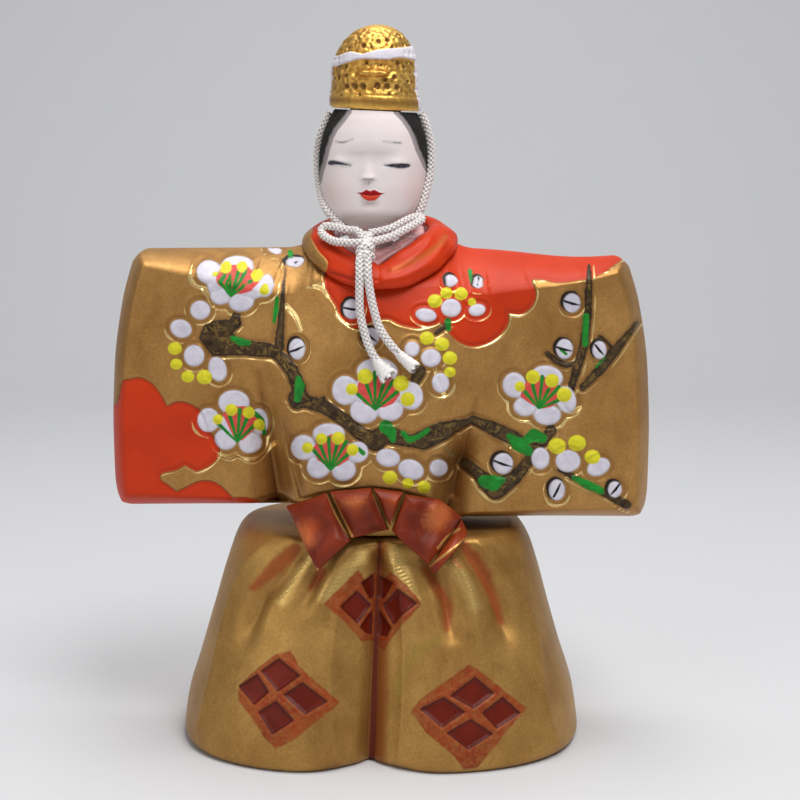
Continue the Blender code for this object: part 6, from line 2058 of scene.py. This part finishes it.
def tube_mesh_parts(tubes):
    """Points and faces of several closed tubes."""
    points, faces, start = [], [], 0
    for ring_points, count, sides in tubes:
        end = np.array([(a, a + 1, sides - 2 - a, sides - 1 - a) for a in range(sides // 2 - 1)]) + start
        far_end = end[:, ::-1] + (count - 1) * sides
        faces += [grid_faces(count, sides, wrap_columns=True) + start, end, far_end]
        points.append(ring_points)
        start += len(ring_points)
    return np.vstack(points), np.vstack(faces)


# %% Braid
def strand(line, out, size):
    """A flattened tube along one strand. out points away from the cord's middle."""
    ahead = unit(np.gradient(line, axis=0))
    across = unit(np.cross(ahead, out))
    away = np.cross(across, ahead)
    return tube(line, STRAND_WIDE * size * across, STRAND_THICK * size * away, STRAND_SIDES)


def loose_fibres(route, ahead, side, up, flare):
    """Fine threads that stand out of the frayed end."""
    draw = np.random.default_rng(31)
    fibres = []
    share = np.linspace(0, 1, 7)[:, None]
    thin = FIBRE_RADIUS * (1 - 0.6 * share)
    for _ in range(70):
        turn, reach = draw.uniform(0, 2 * math.pi), draw.uniform(0.25, 1.1) * (0.0005 + 0.0009 * flare)
        out = math.cos(turn) * side + math.sin(turn) * up
        out[1] *= 0.15
        start = route[-10] + out * draw.uniform(0.0003, 0.0009)
        finish = route[-1] + out * reach + ahead * draw.uniform(-0.0002, 0.0008)
        line = mix(start, finish, share) + np.sin(share * math.pi) * draw.normal(0, 0.00014, 3) * (1, 0.3, 1)
        fibres.append(tube(line, thin * side, thin * up, FIBRE_SIDES))
    return fibres


def braid(route, at, flare=0.0):
    """Eight strands round a route. With a flare, the far end is frayed over its last few millimetres."""
    ahead, side, up = carried_frames(route)
    open_end = fade(1 - (at[-1] - at) / 0.0060) * (flare > 0)
    tubes = []
    for way in (1, -1):
        lift = way * WEAVE * np.cos(2 * STRANDS_EACH_WAY * math.pi * at / BRAID_PITCH) * (1 - open_end)
        radius = CORD_DIAMETER / 2 - STRAND_THICK - WEAVE + lift
        for index in range(STRANDS_EACH_WAY):
            wound = way * 2 * math.pi * at / BRAID_PITCH * (1 - 0.25 * open_end)
            turn = wound + index * 2 * math.pi / STRANDS_EACH_WAY
            out = np.cos(turn)[:, None] * side + np.sin(turn)[:, None] * up
            # a frayed end opens sideways, and hardly towards the doll
            sideways = 1 + flare * open_end[:, None] * (1 - 0.9 * np.abs(out[:, 1:2]))
            tubes.append(strand(route + out * radius[:, None] * sideways, out, 1 + 0.35 * open_end[:, None]))
    if flare:
        tubes += loose_fibres(route, ahead[-1], side[-1], up[-1], flare)
    return tubes + [tube(route, CORE_RADIUS * side, CORE_RADIUS * up, CORE_SIDES)]


# %% Cord finish
def cord_finish():
    """Twisted white silk: fine threads along each strand, with painted shade in the gaps between strands."""
    paint = Painter("white_cord", 0.5)
    made = paint.mottle((246, 242, 238), (228, 220, 216), 0.6, 0.15, 500.0)
    colour = blend_colour(paint.tree, paint.layer("depth"), made["Colour"], linear((158, 144, 140)))
    paint.ground(colour, noise(paint.tree, 5200.0, 3.0, 0.7), 0.6)
    paint.shader.inputs["Sheen Weight"].default_value = 0.3
    return paint.done(0.3, 0.0001)


CORD_FINISH = cord_finish()


def cord_piece(name, tubes, route, body, *nodes):
    points, faces = tube_mesh_parts(tubes)
    mesh = make_mesh(name, points, faces)
    off = np.sqrt(nearest(((points - spot) ** 2).sum(axis=1) for spot in route[::2]))
    # depth is painted shade: greyer towards the cord's middle, in the gaps between strands
    keep_layers(mesh, {"depth": fade(2.35 - 2.0 * off / (CORD_DIAMETER / 2 - STRAND_THICK * 0.5))})
    return place_piece(name, mesh, CORD_FINISH, body, "cord_white", *nodes)


# %% Two cords, the loops and the knot
# the cheek's stretch lies against the head, and the tails leave the knot side by side
CHEEK_BACK, CHEEK_IN = {"right": 0.0042, "left": 0.0012}, {"right": 0.00080, "left": 0.00045}
TAILS_IN = 0.00040
TAIL_FLARES = {"right": 2.1, "left": 1.0}
RIGHT_TAIL_BEND = (0.0, 0.0, 0.0, 0.0, 0.0002, 0.0005, 0.0010, 0.0017)
RIGHT_LOOP_DROP = (0.0, 0.0003, 0.0008, 0.0010, 0.0011, 0.0012, 0.0011, 0.0006, 0.0)
ROUTE_SPACING = 0.00017


def whole_route(side):
    """One real cord: down the cheek, through the knot, and out as a tail."""
    cheek, tail = cord_route("cheek_cord_" + side), cord_route("cord_tail_" + side)
    way = 1 if side == "right" else -1
    cheek[1:-3, 1] += CHEEK_BACK[side] * np.sin(np.linspace(0.25, math.pi, len(cheek) - 4))
    cheek[:-2, 0] += way * CHEEK_IN[side]
    if side == "right":
        tail[:, 0] += RIGHT_TAIL_BEND
    tail[:3, 0] += way * TAILS_IN * np.array((1.0, 0.9, 0.5))
    into, out = mix(KNOT_TOP, KNOT_FOOT, 0.12), mix(KNOT_TOP, KNOT_FOOT, 0.85)
    return np.vstack((cheek, into, mix(into, out, 0.5), out, tail))


def make_long_cords(knot):
    for side in ("right", "left"):
        route, at = even_route(whole_route(side), ROUTE_SPACING)
        name = "braided_cord_" + side
        tubes = braid(route, at, TAIL_FLARES[side])
        piece = cord_piece(name, tubes, route, None, "cheek_cord_" + side, "cord_tail_" + side)
        tail = cord_route("cord_tail_" + side)
        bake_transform(piece, "neck_peg", "head", tuple(tail[-1]), tuple(tail[0]))
        print(name, "length:", round(float(at[-1]), 4))


def make_loops():
    right, left = cord_route("cord_loop_right"), cord_route("cord_loop_left")
    right[:, 2] -= RIGHT_LOOP_DROP
    middle = mix(KNOT_TOP, KNOT_FOOT, 0.45)
    route, at = even_route(np.vstack((middle, right, middle, left, KNOT_TOP)), ROUTE_SPACING)
    piece = cord_piece("braided_loops", braid(route, at), route, "head", "cord_loop_right", "cord_loop_left")


def make_knot():
    """The cord wrapped twice and a little more round itself."""
    share = np.linspace(0, 1, 260)
    top, foot = mix(KNOT_TOP, KNOT_FOOT, 0.55), KNOT_FOOT + (0.0001, -0.0010, -0.0022)
    axis = unit(foot - top)
    side = unit(np.cross(axis, (0.0, 0.0, 1.0)))
    up = np.cross(axis, side)
    turn = (2 * math.pi * 2.3 * share + 0.6)[:, None]
    radius = 0.00126 * (0.74 + 0.36 * np.sin(share * math.pi))[:, None]
    line = mix(top, foot, mix(0.05, 0.95, share)[:, None])
    line += radius * (np.cos(turn) * side + np.sin(turn) * up)
    return cord_piece("braided_knot", braid(line, lengths_along(*line.T)), line, "head", "cord_knot")


make_long_cords(make_knot())
make_loops()

# %% [markdown]
# ## Floor, backdrop and light
# A pale sheet that runs up behind the doll, as in a small photo booth, and three soft lamps.

# %% Floor and backdrop
def booth_mesh():
    profile = [(-1.2, 0.0), (0.5, 0.0)]
    for step in range(1, 13):
        turn = math.pi / 2 * step / 12
        profile.append((0.5 + 0.3 * math.sin(turn), 0.3 - 0.3 * math.cos(turn)))
    profile.append((0.8, 1.6))
    points = [(x, y, z) for x in (-1.6, 1.6) for y, z in profile]
    count = len(profile)
    mesh = bpy.data.meshes.new("booth")
    mesh.from_pydata(points, [], [(i, count + i, count + i + 1, i + 1) for i in range(count - 1)])
    mesh.shade_smooth()
    return mesh


def booth_finish():
    """A pale sheet with the faintest mottle of paper."""
    finish = bpy.data.materials.new("pale_sheet")
    finish.use_nodes = True
    tree = finish.node_tree
    made = use_group(tree, HAND_LAID, Colour=(0.62, 0.62, 0.63, 1), Second_Colour=(0.60, 0.60, 0.61, 1),
                     Broad_Scale=6.0, Amount=0.5, Grain=0.02)
    tree.links.new(made["Colour"], tree.nodes["Principled BSDF"].inputs["Base Color"])
    tree.nodes["Principled BSDF"].inputs["Roughness"].default_value = 0.7
    return finish


booth = bpy.data.objects.new("booth", booth_mesh())
booth.data.materials.append(booth_finish())
bpy.context.collection.objects.link(booth)


# %% World and lamps
world = bpy.data.worlds.new("soft_room")
world.use_nodes = True
world.node_tree.nodes["Background"].inputs["Color"].default_value = (0.80, 0.82, 0.86, 1.0)
world.node_tree.nodes["Background"].inputs["Strength"].default_value = 0.30
bpy.context.scene.world = world
bpy.context.scene.view_settings.view_transform = "Standard"


def soft_lamp(name, place, target, width, height, watts):
    data = bpy.data.lights.new(name, "AREA")
    data.shape = "RECTANGLE"
    data.size, data.size_y, data.energy = width, height, watts
    lamp = bpy.data.objects.new(name, data)
    lamp.location = place
    lamp.rotation_euler = (Vector(target) - Vector(place)).to_track_quat("-Z", "Y").to_euler()
    bpy.context.collection.objects.link(lamp)


CHEST = (0.0, 0.0, 0.09)
soft_lamp("key", (0.24, -0.50, 0.90), CHEST, 0.40, 0.40, 5.4)
soft_lamp("fill", (-0.65, -0.55, 0.45), CHEST, 0.6, 0.6, 1.4)
soft_lamp("top", (0.05, 0.05, 0.85), CHEST, 0.6, 0.4, 4.6)
print("lamps set")
